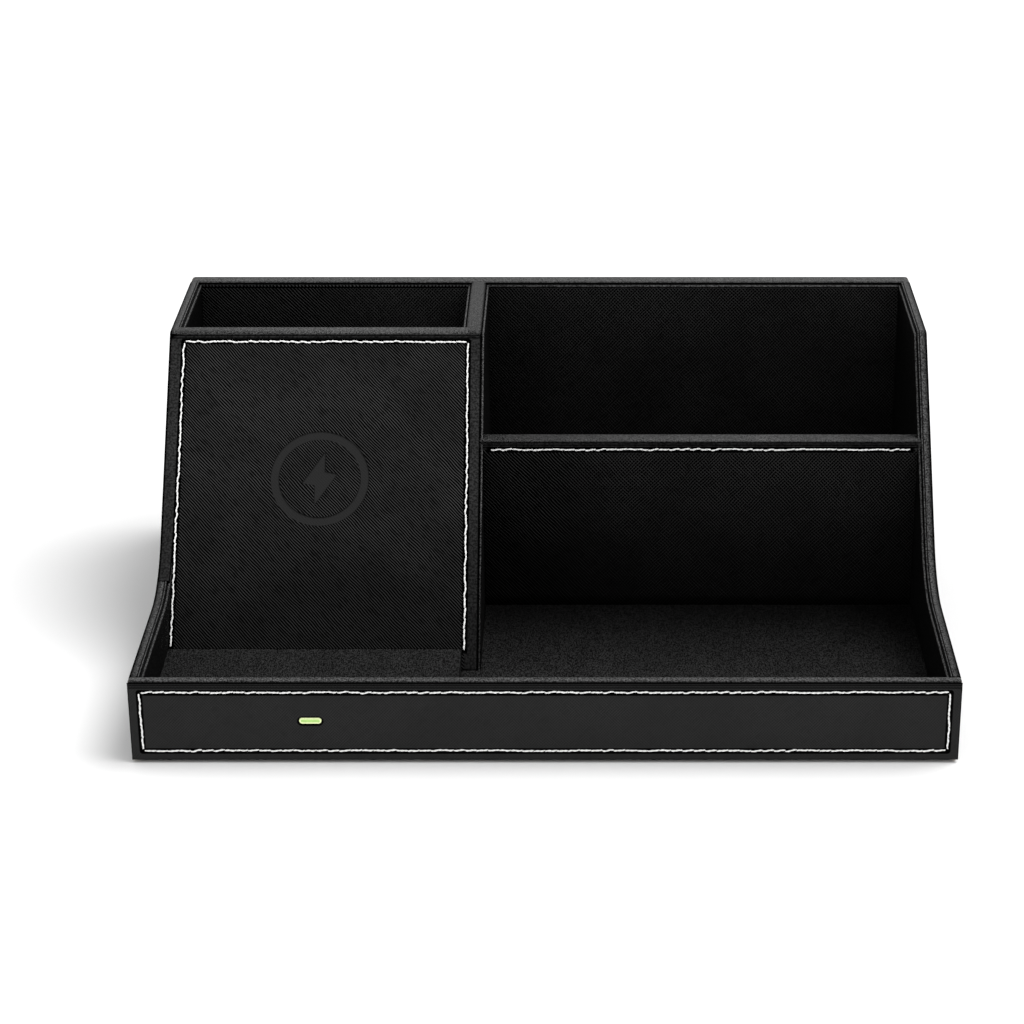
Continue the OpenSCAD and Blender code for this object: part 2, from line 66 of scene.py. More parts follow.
front_low, front_high = corners("front_wrap")
back_low, back_high = corners("back_wrap")
left_low, left_high = corners("left_side_wrap")
right_low, right_high = corners("right_side_wrap")
divider_low, divider_high = corners("centre_divider_wrap")
rear_low, rear_high = corners("rear_divider_wrap")
pen_low, pen_high = corners("pen_slot_wrap")
panel_low, panel_high = corners("charging_face_sheet")

HALF_W = back_high.x
BASE_Z = front_low.z  # underside of the body, over the feet
RIM_Z = front_high.z  # low rim: the front wall and the front ends of the sides
TOP_Z = back_high.z
BAY_X = corners("right_side_lining")[0].x
PHONE_X = corners("centre_divider_lining")[0].x  # right end of the phone rest and the pen slot
DEEP_X = corners("centre_divider_lining")[1].x  # left end of the bays
LEDGE_Z = corners("phone_ledge_sheet")[1].z
FLOOR_Z = corners("front_floor_sheet")[1].z

charging_mount = next(m for m in frame["record"]["mounts"] if m["name"] == "charging_face")
SLOPE = atan2(-charging_mount["axis"][1], charging_mount["axis"][2])
SIN_S, COS_S = sin(SLOPE), cos(SLOPE)
CORNER_R = 2.0  # where the level top edge meets the slope
KNEE_R = 34.0  # where a side's slope meets its low rim
CORNER_RUN = CORNER_R * tan(SLOPE / 2)
TOP_Y = pen_low.y + CORNER_RUN * COS_S


def slope_y(height):
    """Place of the slope at a height."""
    return TOP_Y - (TOP_Z - height) / tan(SLOPE)


KNEE_Y = slope_y(RIM_Z)
SLOPE_LENGTH = (TOP_Z - RIM_Z) / SIN_S
KNEE_START = SLOPE_LENGTH - KNEE_R * tan(SLOPE / 2)
FLAP_ARC = radians(25)  # how far the charging sheet's flap runs into the knee

SKIN = 0.4
LINING = 1.0
SHEET = 0.8
LINING_DROP = 1.0  # how far a lining's edge is below its wall's rim
EDGE_R = 0.8  # rounding of a leather-covered rim, down its faces
EDGE_ACROSS = 1.3  # and across its top
EMBLEM_X = charging_mount["pos_m"][0] / MM
EMBLEM_DROP = 53.0  # centre of the ring, down the slope from the top corner
RING_R = 16.6
RING_W = 2.8
EMBLEM_DEPTH = 0.3
LENS_HOLE = 0.68  # how deep the front sheet is cut round the light
THREAD_W = 1.1  # width that the CAD stitching allows for thread
STITCH_PITCH = 3.6
CHANNEL_R = 0.62  # half width of the channel that a stitch row lies in
CHANNEL_DEPTH = 0.5
CHANNEL_DARK = 0.92  # half width of the painted shade along it
PRESSED_TONE = 0.41  # how light the emblem is, between its leather's two tones

rng = random.Random(7)

# ---------- Node helpers for the materials ----------


class Finish:
    """A material's node tree, with short calls for the nodes used here."""

    def __init__(self, name, tilt=0.0, stretch=1.0):
        self.material = bpy.data.materials.new(name)
        self.material.use_nodes = True
        self.tree = self.material.node_tree
        self.shader = self.tree.nodes["Principled BSDF"]
        place = self.tree.nodes.new("ShaderNodeTexCoord").outputs["Object"]
        self.level = self.add("SeparateXYZ", Vector=place).outputs["Z"]
        mapping = self.tree.nodes.new("ShaderNodeMapping")
        mapping.inputs["Rotation"].default_value = (-tilt, 0, 0)
        mapping.inputs["Scale"].default_value = (1 / MM, 1 / (stretch * MM), 1 / MM)
        self.tree.links.new(place, mapping.inputs["Vector"])
        self.place = mapping.outputs["Vector"]

    def add(self, kind, settings=None, **inputs):
        node = self.tree.nodes.new("ShaderNode" + kind)
        for name, value in (settings or {}).items():
            setattr(node, name, value)
        for name, value in inputs.items():
            self.connect(value, node.inputs[name.replace("_", " ")])
        return node

    def connect(self, value, socket):
        if isinstance(value, bpy.types.NodeSocket):
            self.tree.links.new(value, socket)
        else:
            socket.default_value = value

    def noise(self, scale, detail, distortion=0.0):
        node = self.add("TexNoise", Vector=self.place, Scale=scale, Detail=detail, Distortion=distortion)
        return node.outputs["Fac"]

    def cells(self, scale):
        node = self.add("TexVoronoi", {"feature": "SMOOTH_F1"}, Vector=self.place, Scale=scale,
                        Smoothness=0.35)
        return node.outputs["Distance"]

    def math(self, operation, a, b=0.0, c=0.0):
        node = self.add("Math", {"operation": operation})
        for value, socket in zip((a, b, c), node.inputs):
            self.connect(value, socket)
        return node.outputs["Value"]

    def mul(self, a, b):
        return self.math("MULTIPLY", a, b)

    def mul_add(self, a, b, c):
        return self.math("MULTIPLY_ADD", a, b, c)

    def ramp(self, value, low, high, to_low=0.0, to_high=1.0):
        node = self.add("MapRange", {"interpolation_type": "SMOOTHSTEP"}, Value=value, From_Min=low,
                        From_Max=high, To_Min=to_low, To_Max=to_high)
        return node.outputs["Result"]

    def blend(self, fac, first, second):
        node = self.add("Mix", {"data_type": "RGBA"}, Factor=fac)
        colours = [s for s in node.inputs if s.type == "RGBA"]
        self.connect(first, colours[0])
        self.connect(second, colours[1])
        return next(s for s in node.outputs if s.type == "RGBA")

    def fade(self, low, high, at_low):
        """Painted shade by height: 1 from a height up, falling to at_low at a lower one, as less light
        reaches low leather.
        """
        return self.ramp(self.level, low * MM, high * MM, at_low)

    def attribute(self, name):
        return self.add("Attribute", {"attribute_name": name}).outputs["Fac"]

    def bump(self, height, distance):
        return self.add("Bump", Height=height, Distance=distance * MM, Strength=1.0).outputs["Normal"]

    def set(self, **inputs):
        for name, value in inputs.items():
            self.connect(value, self.shader.inputs[name.replace("_", " ")])
        return self.material


def grey(level):
    return (level, level, level, 1.0)


# ---------- Materials ----------


def pebble_leather(name, dark, light, gloss=0.5, grain=0.5, specular=0.2, stretch=1.0, fade=(0, 1, 1)):
    """Black artificial leather with a fine pebble grain, coloured lighter on its high spots.

    The grain can be drawn out from front to back, and is tilted so that no face lies along its cells.
    The hollow attribute is painted shade: it blackens creases, rounded rim edges, the gaps behind edges and
    the rear of a floor, and takes their reflection away. fade paints the leather darker lower down.
    """
    f = Finish(name, tilt=0.5, stretch=stretch)
    pebbles = f.ramp(f.cells(1 / grain), 0.15, 0.75, 1.0, 0.0)
    specks = f.ramp(f.noise(0.8 / grain, detail=1), 0.44, 0.56)
    patches = f.noise(0.09, detail=4)
    fine = f.noise(5.0, detail=3)
    height = f.mul_add(fine, 0.35, f.math("ADD", pebbles, specks))
    tone = f.mul_add(pebbles, 0.4, f.mul(specks, 0.6))
    tone = f.mul(tone, f.ramp(patches, 0.3, 0.7, 0.8, 1.0))
    tone = f.mul(tone, f.fade(*fade))
    colour = f.blend(tone, grey(dark), grey(light))
    hollow = f.attribute("hollow")
    kept = f.math("SUBTRACT", 1.0, hollow)
    colour = f.blend(hollow, colour, grey(0.0))
    rough = f.mul_add(patches, 0.16, gloss - 0.08)
    return f.set(Base_Color=colour, Roughness=rough, Normal=f.bump(height, 0.1),
                 Specular_IOR_Level=f.mul(kept, specular))


def twill_leather(name, tilt, dark, light, pitch=0.79, crossing=None, thin=-0.35, relief=0.07,
                  specular=0.1, fade=(0, 1, 1)):
    """Artificial leather embossed with broken diagonal ridges.

    Right of the crossing position other ridges cross them. The hollow attribute is painted shade, blackening
    stitch channels, creases, recesses and the emblem's edges; smooth marks borders without ridges, and
    pressed marks the emblem. The grooves are coloured darker than the ridges, painted shade on the embossed
    pattern, and fade paints the leather darker lower down.
    """
    f = Finish(name, tilt)
    split = f.add("SeparateXYZ", Vector=f.place)
    across, up = split.outputs["X"], split.outputs["Y"]
    wander = f.mul_add(f.noise(0.06, detail=1), 2.0, f.noise(0.25, detail=1))

    def ridges(direction):
        """Ridges at right angles to a slant, each broken into dashes of uneven weight."""
        slant = f.mul_add(up, 0.68 * direction, f.mul(across, 0.73))
        slant = f.mul_add(wander, 0.6 * pitch, slant)
        along = f.mul_add(up, -0.73 * direction, f.mul(across, 0.68))
        dash = f.add("CombineXYZ", X=f.mul(slant, 1.1), Y=f.mul(along, 0.22))
        weight = f.add("TexNoise", Vector=dash.outputs["Vector"], Scale=1.0, Detail=1.0).outputs["Fac"]
        wave = f.ramp(f.math("SINE", f.mul(slant, 2 * pi / pitch)), thin, thin + 1.0)
        return f.mul(wave, f.ramp(weight, 0.3, 0.5, 0.65, 1.0))

    main = ridges(1)
    if crossing is not None:
        share = f.ramp(across, crossing - 20, crossing + 20)
        turn = f.ramp(f.noise(0.42, detail=1), 0.4, 0.6)
        main = f.mul(main, f.mul_add(f.mul(turn, share), -0.5, 1.0))
        other = f.mul(share, f.mul_add(turn, 0.4, 0.6))
        main = f.math("MAXIMUM", main, f.mul(ridges(-1), other))
    fine = f.noise(4.0, detail=3)
    pressed = f.attribute("pressed")
    hollow = f.attribute("hollow")
    specks = f.ramp(f.noise(1.4, detail=2), 0.34, 0.66, 0.2, 0.7)
    main = f.mul_add(f.math("SUBTRACT", specks, main), f.attribute("smooth"), main)
    kept = f.mul_add(pressed, -0.55, 1.0)
    kept = f.mul(kept, f.math("SUBTRACT", 1.0, hollow))
    pattern = f.mul(main, kept)
    height = f.mul_add(fine, 0.22, pattern)
    patches = f.noise(0.05, detail=4)
    # painted shade: the grooves between the ridges are coloured darker
    tone = f.mul(pattern, f.ramp(patches, 0.32, 0.68, 0.74, 1.0))
    tone = f.mul(tone, f.fade(*fade))
    tone = f.math("MAXIMUM", tone, f.mul(pressed, PRESSED_TONE))
    colour = f.blend(tone, grey(dark), grey(light))
    colour = f.blend(hollow, colour, grey(0.0))
    rough = f.mul_add(pattern, -0.12, 0.62)
    shine = f.mul(f.mul_add(tone, 0.9, 0.1), specular)
    return f.set(Base_Color=colour, Roughness=rough, Normal=f.bump(height, relief),
                 Specular_IOR_Level=shine)


def thread_finish():
    """Bonded white thread, a little soiled in the dips. The faint glow is painted light, which makes it
    whiter than the lamps alone do.
    """
    f = Finish("white_thread")
    fibres = f.noise(7.0, detail=3, distortion=1.0)
    soil = f.noise(0.4, detail=2)
    colour = f.blend(f.ramp(soil, 0.35, 0.7), (0.97, 0.97, 0.96, 1), (0.9, 0.9, 0.88, 1))
    return f.set(Base_Color=colour, Roughness=0.55, Sheen_Weight=0.25, Sheen_Roughness=0.4,
                 Normal=f.bump(fibres, 0.05), Specular_IOR_Level=0.35, Emission_Color=colour,
                 Emission_Strength=0.1)


def glow(name, colour, strength, spread):
    """Moulded light pipe, lit from behind, with a faint mottle in the plastic."""
    f = Finish(name)
    mottle = f.noise(spread, detail=2)
    dimmer = tuple(c * 0.86 for c in colour) + (1.0,)
    lit = f.blend(f.ramp(mottle, 0.3, 0.7), tuple(colour) + (1.0,), dimmer)
    plastic = f.blend(0.5, lit, grey(0.0))
    return f.set(Base_Color=plastic, Emission_Color=lit, Emission_Strength=strength, Roughness=0.3,
                 Normal=f.bump(mottle, 0.02), Coat_Weight=0.3)


def moulded_plastic(name, dark, light, roughness=0.5, texture=3.0):
    """Spark-eroded moulded plastic or rubber."""
    f = Finish(name)
    spark = f.noise(texture, detail=4)
    flow = f.noise(0.12, detail=2)
    colour = f.blend(f.ramp(flow, 0.3, 0.7), dark, light)
    rough = f.mul_add(spark, 0.2, roughness - 0.1)
    return f.set(Base_Color=colour, Roughness=rough, Normal=f.bump(spark, 0.04))


def fibreboard():
    """Raw fibreboard: pressed wood fibres in two sizes."""
    f = Finish("fibreboard")
    fibres = f.noise(1.6, detail=6, distortion=1.2)
    clumps = f.noise(0.2, detail=3)
    tone = f.mul_add(clumps, 0.5, f.mul(fibres, 0.5))
    colour = f.blend(f.ramp(tone, 0.3, 0.7), (0.33, 0.22, 0.13, 1), (0.58, 0.44, 0.29, 1))
    return f.set(Base_Color=colour, Roughness=0.85, Normal=f.bump(fibres, 0.08))


def circuit_board():
    """Green solder mask over copper tracks, with the mask's slight ripple."""
    f = Finish("circuit_board")
    tracks = f.add("TexBrick", Vector=f.place, Scale=0.45, Mortar_Size=0.05)
    ripple = f.noise(1.5, detail=2)
    colour = f.blend(tracks.outputs["Fac"], (0.008, 0.11, 0.035, 1), (0.02, 0.2, 0.07, 1))
    return f.set(Base_Color=colour, Roughness=0.35, Coat_Weight=0.4,
                 Normal=f.bump(f.math("ADD", tracks.outputs["Fac"], ripple), 0.05))


def wound_copper(centre):
    """Flat coil of enamelled wire: rings round the coil's own centre, in the plane of the face."""
    f = Finish("wound_copper", SLOPE)
    wire_pitch = 0.9

    def vector(operation, value, by=(0, 0, 0)):
        node = f.add("VectorMath", {"operation": operation})
        f.connect(value, node.inputs[0])
        node.inputs[1].default_value = by
        return node.outputs

    flat = vector("MULTIPLY", vector("SUBTRACT", f.place, centre)["Vector"], (1, 1, 0))["Vector"]
    radius = vector("LENGTH", flat)["Value"]
    wires = f.math("ABSOLUTE", f.math("SINE", f.mul(radius, pi / wire_pitch)))
    wear = f.noise(0.6, detail=3)
    colour = f.blend(f.mul(wires, f.ramp(wear, 0.2, 0.8, 0.7, 1.0)),
                     (0.12, 0.03, 0.01, 1), (0.75, 0.3, 0.12, 1))
    return f.set(Base_Color=colour, Metallic=1.0, Roughness=0.32, Normal=f.bump(wires, 0.3))


def ferrite():
    """Sintered ferrite, with a grain and hairline cracks under its film."""
    f = Finish("ferrite")
    cracks = f.add("TexVoronoi", {"feature": "DISTANCE_TO_EDGE"}, Vector=f.place, Scale=0.12)
    lines = f.ramp(cracks.outputs["Distance"], 0.0, 0.02)
    grain = f.noise(3.0, detail=4)
    colour = f.blend(f.mul(lines, grain), (0.01, 0.01, 0.01, 1), (0.09, 0.085, 0.08, 1))
    return f.set(Base_Color=colour, Roughness=0.4, Normal=f.bump(lines, 0.05))


def nickel():
    """Nickel-plated steel with fine drawing marks."""
    f = Finish("nickel_plate")
    stretched = f.add("Mapping", Vector=f.place)
    stretched.inputs["Scale"].default_value = (0.3, 6.0, 6.0)
    marks = f.add("TexNoise", Vector=stretched.outputs["Vector"], Scale=1.0, Detail=3.0).outputs["Fac"]
    colour = f.blend(marks, (0.42, 0.42, 0.43, 1), (0.66, 0.65, 0.63, 1))
    rough = f.mul_add(marks, 0.25, 0.18)
    return f.set(Base_Color=colour, Metallic=1.0, Roughness=rough, Normal=f.bump(marks, 0.01))


UPRIGHT = pi / 2
# One black leather in copies of different lightness: rim_leather is the lightest, a painted highlight for the
# sheen along the rims; broad_rim_leather is held darker, painted shade so that the flat divider top is no
# brighter than the other rims; lining_leather is the darkest, painted shade for the insides of the bays. The
# fade ranges paint leathers darker lower down.
rim_leather = pebble_leather("rim_leather", 0.0, 0.12, grain=0.42)
panel_leather = pebble_leather("panel_leather", 0.008, 0.03, gloss=0.6, grain=0.42, specular=0.14)
broad_rim_leather = pebble_leather("broad_rim_leather", 0.002, 0.066, grain=0.4, specular=0.16)
floor_leather = pebble_leather("floor_leather", 0.0, 0.034, gloss=0.7, grain=0.33, specular=0.05,
                               stretch=2.2)
lining_leather = pebble_leather("lining_leather", 0.001, 0.009, gloss=0.7, specular=0.03,
                                fade=(TOP_Z, RIM_Z + 10, 0.2))
charging_leather = twill_leather("charging_leather", SLOPE, 0.0, 0.048, thin=0.0,
                                 fade=(LEDGE_Z, (LEDGE_Z + TOP_Z) / 2 + 5, 0.5))
front_leather = twill_leather("front_leather", UPRIGHT, 0.015, 0.0185, pitch=0.7, crossing=-200,
                              relief=0.012, specular=0.16)
divider_leather = twill_leather("divider_leather", UPRIGHT, 0.0, 0.05, pitch=0.9, crossing=15, thin=0.25,
                                specular=0.05, fade=(FLOOR_Z, rear_high.z, 0.45))
bay_leather = twill_leather("bay_leather", UPRIGHT, 0.0, 0.05, pitch=0.9, crossing=-15, thin=0.25,
                            specular=0.05, fade=(rear_high.z - 10, TOP_Z, 0.85))
pen_leather = twill_leather("pen_leather", UPRIGHT, 0.0, 0.056, pitch=0.9, crossing=-70, thin=0.0,
                            specular=0.05)
white_thread = thread_finish()
lens_rim = glow("lens_rim", (0.88, 0.98, 0.52), 0.64, 1.5)
lens_core = glow("lens_core", (0.46, 0.73, 0.2), 0.6, 1.2)
black_plastic = moulded_plastic("black_plastic", (0.012, 0.012, 0.013, 1), (0.022, 0.022, 0.024, 1))
black_rubber = moulded_plastic("black_rubber", (0.016, 0.016, 0.016, 1), (0.03, 0.03, 0.03, 1), 0.75, 2.0)
cable_jacket = moulded_plastic("cable_jacket", (0.02, 0.02, 0.021, 1), (0.034, 0.034, 0.035, 1), 0.55, 1.0)

# ---------- Mesh helpers ----------


def make_piece(name, verts, faces, materials, smooth=None, face_material=None):
    """A mesh object from millimetre points, with its finish. smooth and face_material go face by face."""
    mesh = bpy.data.meshes.new(name)
    mesh.from_pydata([tuple(c * MM for c in v) for v in verts], [], faces)
    for material in materials:
        mesh.materials.append(material)
    if smooth is not None:
        mesh.polygons.foreach_set("use_smooth", smooth)
    if face_material is not None:
        mesh.polygons.foreach_set("material_index", face_material)
    mesh.update()
    obj = bpy.data.objects.new(name, mesh)
    bpy.context.scene.collection.objects.link(obj)
    return obj


def stand_for(obj, node):
    """Ties a finished piece to the frame in place of a CAD node."""
    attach(obj, "root")
    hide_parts(node)


def face_outward(obj):
    """Turns a closed mesh's faces outward, and drops points that no face uses."""
    bm = bmesh.new()
    bm.from_mesh(obj.data)
    bmesh.ops.delete(bm, geom=[v for v in bm.verts if not v.link_faces], context="VERTS")
    bmesh.ops.recalc_face_normals(bm, faces=bm.faces)
    bm.to_mesh(obj.data)
    bm.free()


def set_mark(obj, name, values):
    """Stores a value for each point, which the leathers read by its name."""
    obj.data.attributes.new(name, "FLOAT", "POINT").data.foreach_set("value", values)


def quarter_round(radius, steps):
    """Distance across and depth along a rounded edge, from a wall's face up to its rim."""
    for i in range(steps + 1):
        t = pi / 2 * i / steps
        yield radius * (1 - cos(t)), radius * (1 - sin(t))


def round_path(points, radii, steps=10):
    """Points and outward normals along a path whose corners are rounded, the outside on its left."""
    points = [np.array(p, float) for p in points]
    ways = [(b - a) / np.linalg.norm(b - a) for a, b in zip(points, points[1:])]
    left = [np.array((-w[1], w[0])) for w in ways]
    path = [(points[0], left[0])]
    for k, radius in enumerate(radii):
        corner, into, out = points[k + 1], ways[k], ways[k + 1]
        turn = atan2(into[0] * out[1] - into[1] * out[0], float(into @ out))
        start = corner - into * radius * tan(abs(turn) / 2)
        side = copysign(1.0, turn)
        centre = start + side * radius * left[k]
        for i in range(steps + 1):
            t = turn * i / steps
            normal = np.array((left[k][0] * cos(t) - left[k][1] * sin(t),
                               left[k][0] * sin(t) + left[k][1] * cos(t)))
            path.append((centre - side * radius * normal, normal))
    path.append((points[-1], left[-1]))
    return path


def wall(name, node, materials, stations, place, foot=None, hollow=True):
    """A wall swept along its rim, in place of a node. Stations are path points, normals and sections.

    A section goes from face to face over the rim, as distance across, depth below it and hollow mark, which
    is painted shade.
    The first material is the rim's and the last one the faces' and the upright ends'. foot is the height
    where a wall that doesn't run down its own ends stops. A wrap is hollow and a lining isn't.
    """
    verts, faces, smooth, marks, which = [], [], [], [], []
    count = len(stations[0][2])
    face_material = len(materials) - 1
    for point, normal, section in stations:
        for across, depth, mark in section:
            s, z = point - normal * depth
            verts.append(place(s, z, across))
            marks.append(mark)
    for i in range(len(stations) - 1):
        upright = stations[i][1][1] + stations[i + 1][1][1] < 0.1
        which += [face_material if upright else 0] * (count - 1)
        for j in range(count - 1):
            a = i * count + j
            faces.append((a, a + count, a + count + 1, a + 1))
            smooth.append(True)
    strips = len(faces)
    feet = []
    for side in (0, count - 1):
        loop = [i * count + side for i in range(len(stations))]
        if foot is not None:
            across = stations[0][2][side][0]
            for station in (stations[-1], stations[0]):
                feet.append(len(verts))
                verts.append(place(station[0][0], foot, across))
                marks.append(0.0)
            loop += feet[-2:]
        faces.append(tuple(loop))
    if not hollow:
        near_last, near_first, far_last, far_first = feet
        last = (len(stations) - 1) * count
        faces.append((*range(count), far_first, near_first))
        faces.append((*range(last, last + count), far_last, near_last))
        faces.append((near_first, far_first, far_last, near_last))
    flat = len(faces) - strips
    smooth += [False] * flat
    which += [face_material] * flat
    obj = make_piece(name, verts, faces, materials, smooth, which)
    set_mark(obj, "hollow", marks)
    tidy_shell(obj, hollow)
    stand_for(obj, node)
    return obj


def tidy_shell(obj, hollow):
    """Welds a swept wall and turns it rim side out, and gives a hollow one the leather's thickness."""
    bm = bmesh.new()
    bm.from_mesh(obj.data)
    bmesh.ops.remove_doubles(bm, verts=bm.verts, dist=0.004 * MM)
    bmesh.ops.dissolve_degenerate(bm, edges=bm.edges, dist=0.002 * MM)
    bmesh.ops.recalc_face_normals(bm, faces=bm.faces)
    level = max(bm.faces, key=lambda f: f.calc_area() * abs(f.normal.z))
    if hollow and level.normal.z < 0:
        bmesh.ops.reverse_faces(bm, faces=bm.faces)
    bm.to_mesh(obj.data)
    bm.free()
    if hollow:
        thickness = obj.modifiers.new("leather", "SOLIDIFY")
        thickness.thickness = SKIN * MM
        thickness.offset = -1.0
        thickness.use_even_offset = False


EDGE_STEPS = 6  # steps round a rim's edge
SECTION_EDGE = EDGE_STEPS + 3  # points of a rim's section up to the end of its near edge


def rim_section(width, depth, outer_dark=None):
    """Section over a rim: faces and rounded edges, with painted shade on the rounded edges, darkest low down
    by the faces.

    With outer_dark, which says how far up the outer edge the painted shade reaches, it is the rim of a side
    or back wall, which also has a crease pressed in by its inner edge, painted dark as shade.
    """
    def edge(radius, across, dark=1.2):
        points = [(0.0, depth, 0.0), (0.0, depth - 0.05, 0.9)]
        for k, (a, d) in enumerate(quarter_round(radius, EDGE_STEPS)):
            points.append((a * across / radius, d, min(max(dark - 0.3 * k, 0.0), 1.0)))
        return points
    if outer_dark is None:
        near = edge(EDGE_R, EDGE_ACROSS)
        return near + [(width - a, d, mark) for a, d, mark in reversed(near)]
    near = edge(EDGE_R, EDGE_ACROSS, outer_dark) + [(EDGE_ACROSS + 0.7, 0.0, 0.0)]
    at = width - 0.6
    crease = [(at - 0.28, 0.0, 0.0), (at - 0.12, 0.12, 0.9), (at, 0.22, 1.0), (at + 0.12, 0.12, 0.9),
              (at + 0.25, 0.0, 0.0)]
    return near + crease + [(width - a, d, mark) for a, d, mark in reversed(edge(0.3, 0.3))]


def lining_section():
    """Section over a lining's edge, which leans away from the wall behind it and is rounded over. Its marks
    paint shade into the gap behind the edge and down the face under its rounding.
    """
    gap = 0.3
    radius = (LINING - gap) / 2
    depth, drop = LINING_STRIP, LINING_DROP
    edge = list(quarter_round(radius, 4))
    top = [(gap + a, drop + d, 1.0 - k / 2 if k < 2 else 0.0) for k, (a, d) in enumerate(edge)]
    far = [(LINING - a, drop + d, 0.0) for a, d in reversed(edge)]
    back = [(0.0, depth, 0.0), (0.0, depth - 0.05, 1.0), (gap, depth - 0.2, 1.0)]
    under = [(LINING, drop + radius + 0.15, 0.9), (LINING, depth - 0.05, 0.9), (LINING, depth, 0.0)]
    return back + top + far[1:] + under


# ---------- Walls ----------

STRIP = 0.95  # how far a swept rim runs down both faces
LINING_STRIP = 1.95  # the same for a lining's edge, from the rim
SIDE_END = 0.8  # how far a wall runs into the one it meets

side_points = [(front_high.y, RIM_Z), (KNEE_Y, RIM_Z), (TOP_Y, TOP_Z), (back_low.y + SIDE_END, TOP_Z)]
side_path = round_path(side_points, (KNEE_R, CORNER_R))
outer_leathers = [rim_leather, panel_leather]
KNEE_STATION = 1 + 5  # on the knee's arc, where the flap ends
CORNER_STATION = 1 + 11  # where the slope ends and the top corner starts


def plain(path, section):
    return [(point, normal, section) for point, normal in path]


def left_wall_stations(section):
    """The left rim is let down under the charging sheet's flap, but for a lip along its outer edge. The
    let-down part is painted black, as shade under the flap.
    """
    lip, let_down = 0.32, SHEET + 0.05
    lowered = [(a, d, m) if a < lip else (a, max(d, let_down), 1.0) for a, d, m in section]
    stations = []
    for k, (point, normal) in enumerate(side_path):
        under = KNEE_STATION <= k <= CORNER_STATION
        if not under or k == KNEE_STATION:
            stations.append((point, normal, section))
        if under:
            stations.append((point, normal, lowered))
        if k == CORNER_STATION:
            stations.append((point, normal, section))
    return stations


def build_side_walls():
    section = rim_section(left_high.x - left_low.x, STRIP, outer_dark=2.1)
    wall("left_side_rim", "left_side_wrap", outer_leathers, left_wall_stations(section),
         lambda s, z, a: (left_low.x + a, s, z), BASE_Z)
    wall("right_side_rim", "right_side_wrap", outer_leathers, plain(side_path, section),
         lambda s, z, a: (right_high.x - a, s, z), BASE_Z)


def full_width_path(top, corner):
    """Rim path of a wall as wide as the body, which also runs down the wall's ends."""
    points = [(-HALF_W, BASE_Z), (-HALF_W, top), (HALF_W, top), (HALF_W, BASE_Z)]
    return round_path(points, (corner, corner), 6)


def build_front_and_back():
    section = rim_section(front_high.y - front_low.y, STRIP)
    wall("front_rim", "front_wrap", outer_leathers, plain(full_width_path(RIM_Z, 1.0), section),
         lambda s, z, a: (s, front_low.y + a, z))
    section = rim_section(back_high.y - back_low.y, STRIP, outer_dark=2.9)
    back = wall("back_rim", "back_wrap", outer_leathers, plain(full_width_path(TOP_Z, 1.4), section),
                lambda s, z, a: (s, back_high.y - a, z))
    cut_recess(back)


def level_path(x0, x1, height):
    return round_path([(x0, height), (x1, height)], ())


def build_dividers():
    base = divider_low.z
    section = rim_section(divider_high.x - divider_low.x, STRIP)
    lowered = [(a, max(d, SHEET + 0.05), m) for a, d, m in section]
    path = round_path([(slope_y(base), base), (TOP_Y, TOP_Z), (back_low.y + SIDE_END, TOP_Z)], (CORNER_R,))
    stations = [(p, n, lowered) for p, n in path[:2]] + plain(path[1:], section)
    wall("centre_divider_rim", "centre_divider_wrap", [broad_rim_leather], stations,
         lambda s, z, a: (divider_low.x + a, s, z), base)

    reach = LINING + SIDE_END
    section = rim_section(rear_high.y - rear_low.y, STRIP)
    path = level_path(rear_low.x - reach, rear_high.x + reach, rear_high.z)
    wall("rear_divider_rim", "rear_divider_wrap", [rim_leather], plain(path, section),
         lambda s, z, a: (s, rear_low.y + a, z), rear_low.z)

    width = pen_high.y - pen_low.y
    level = CORNER_RUN * (1 + COS_S)
    nose = [(level - CORNER_R * sin(t), CORNER_R * (1 - cos(t)), 0.0)
            for t in np.linspace(SLOPE, 0, 7)]
    section = [(0.0, 2 * STRIP, 0.0)] + nose + rim_section(width, 2 * STRIP)[SECTION_EDGE:]
    path = level_path(pen_low.x - reach, pen_high.x + reach, TOP_Z)
    wall("pen_slot_rim", "pen_slot_wrap", [rim_leather], plain(path, section),
         lambda s, z, a: (s, pen_low.y + a, z), pen_low.z)


def stadium(low, high, radius, steps):
    """Outline with round ends that follows a box's own, at a radius of its ends."""
    outer = (high.z - low.z) / 2
    middle = (low.z + high.z) / 2
    for side, centre in ((1, high.x - outer), (-1, low.x + outer)):
        for i in range(steps + 1):
            t = -pi / 2 + pi * i / steps
            yield centre + side * radius * cos(t), middle + side * radius * sin(t)


def cut_recess(obj):
    """Cuts the power inlet's recess through the back wall's leather."""
    low, high = corners("usb_bezel")
    ring = list(stadium(low, high, (high.z - low.z) / 2, 16))
    count = len(ring)
    verts = [(x, y, z) for y in (low.y - 5, high.y + 5) for x, z in ring]
    faces = [tuple(range(count)), tuple(reversed(range(count, 2 * count)))]
    faces += [(i, i + count, (i + 1) % count + count, (i + 1) % count) for i in range(count)]
    cutter = make_piece("recess_cutter", verts, faces, [])
    face_outward(cutter)
    cut = obj.modifiers.new("recess", "BOOLEAN")
    cut.operation = "DIFFERENCE"
    cut.object = cutter
    bpy.context.view_layer.update()
    carved = bpy.data.meshes.new_from_object(obj.evaluated_get(bpy.context.evaluated_depsgraph_get()))
    obj.modifiers.clear()
    obj.data = carved
    bpy.data.objects.remove(cutter)


# ---------- Linings ----------


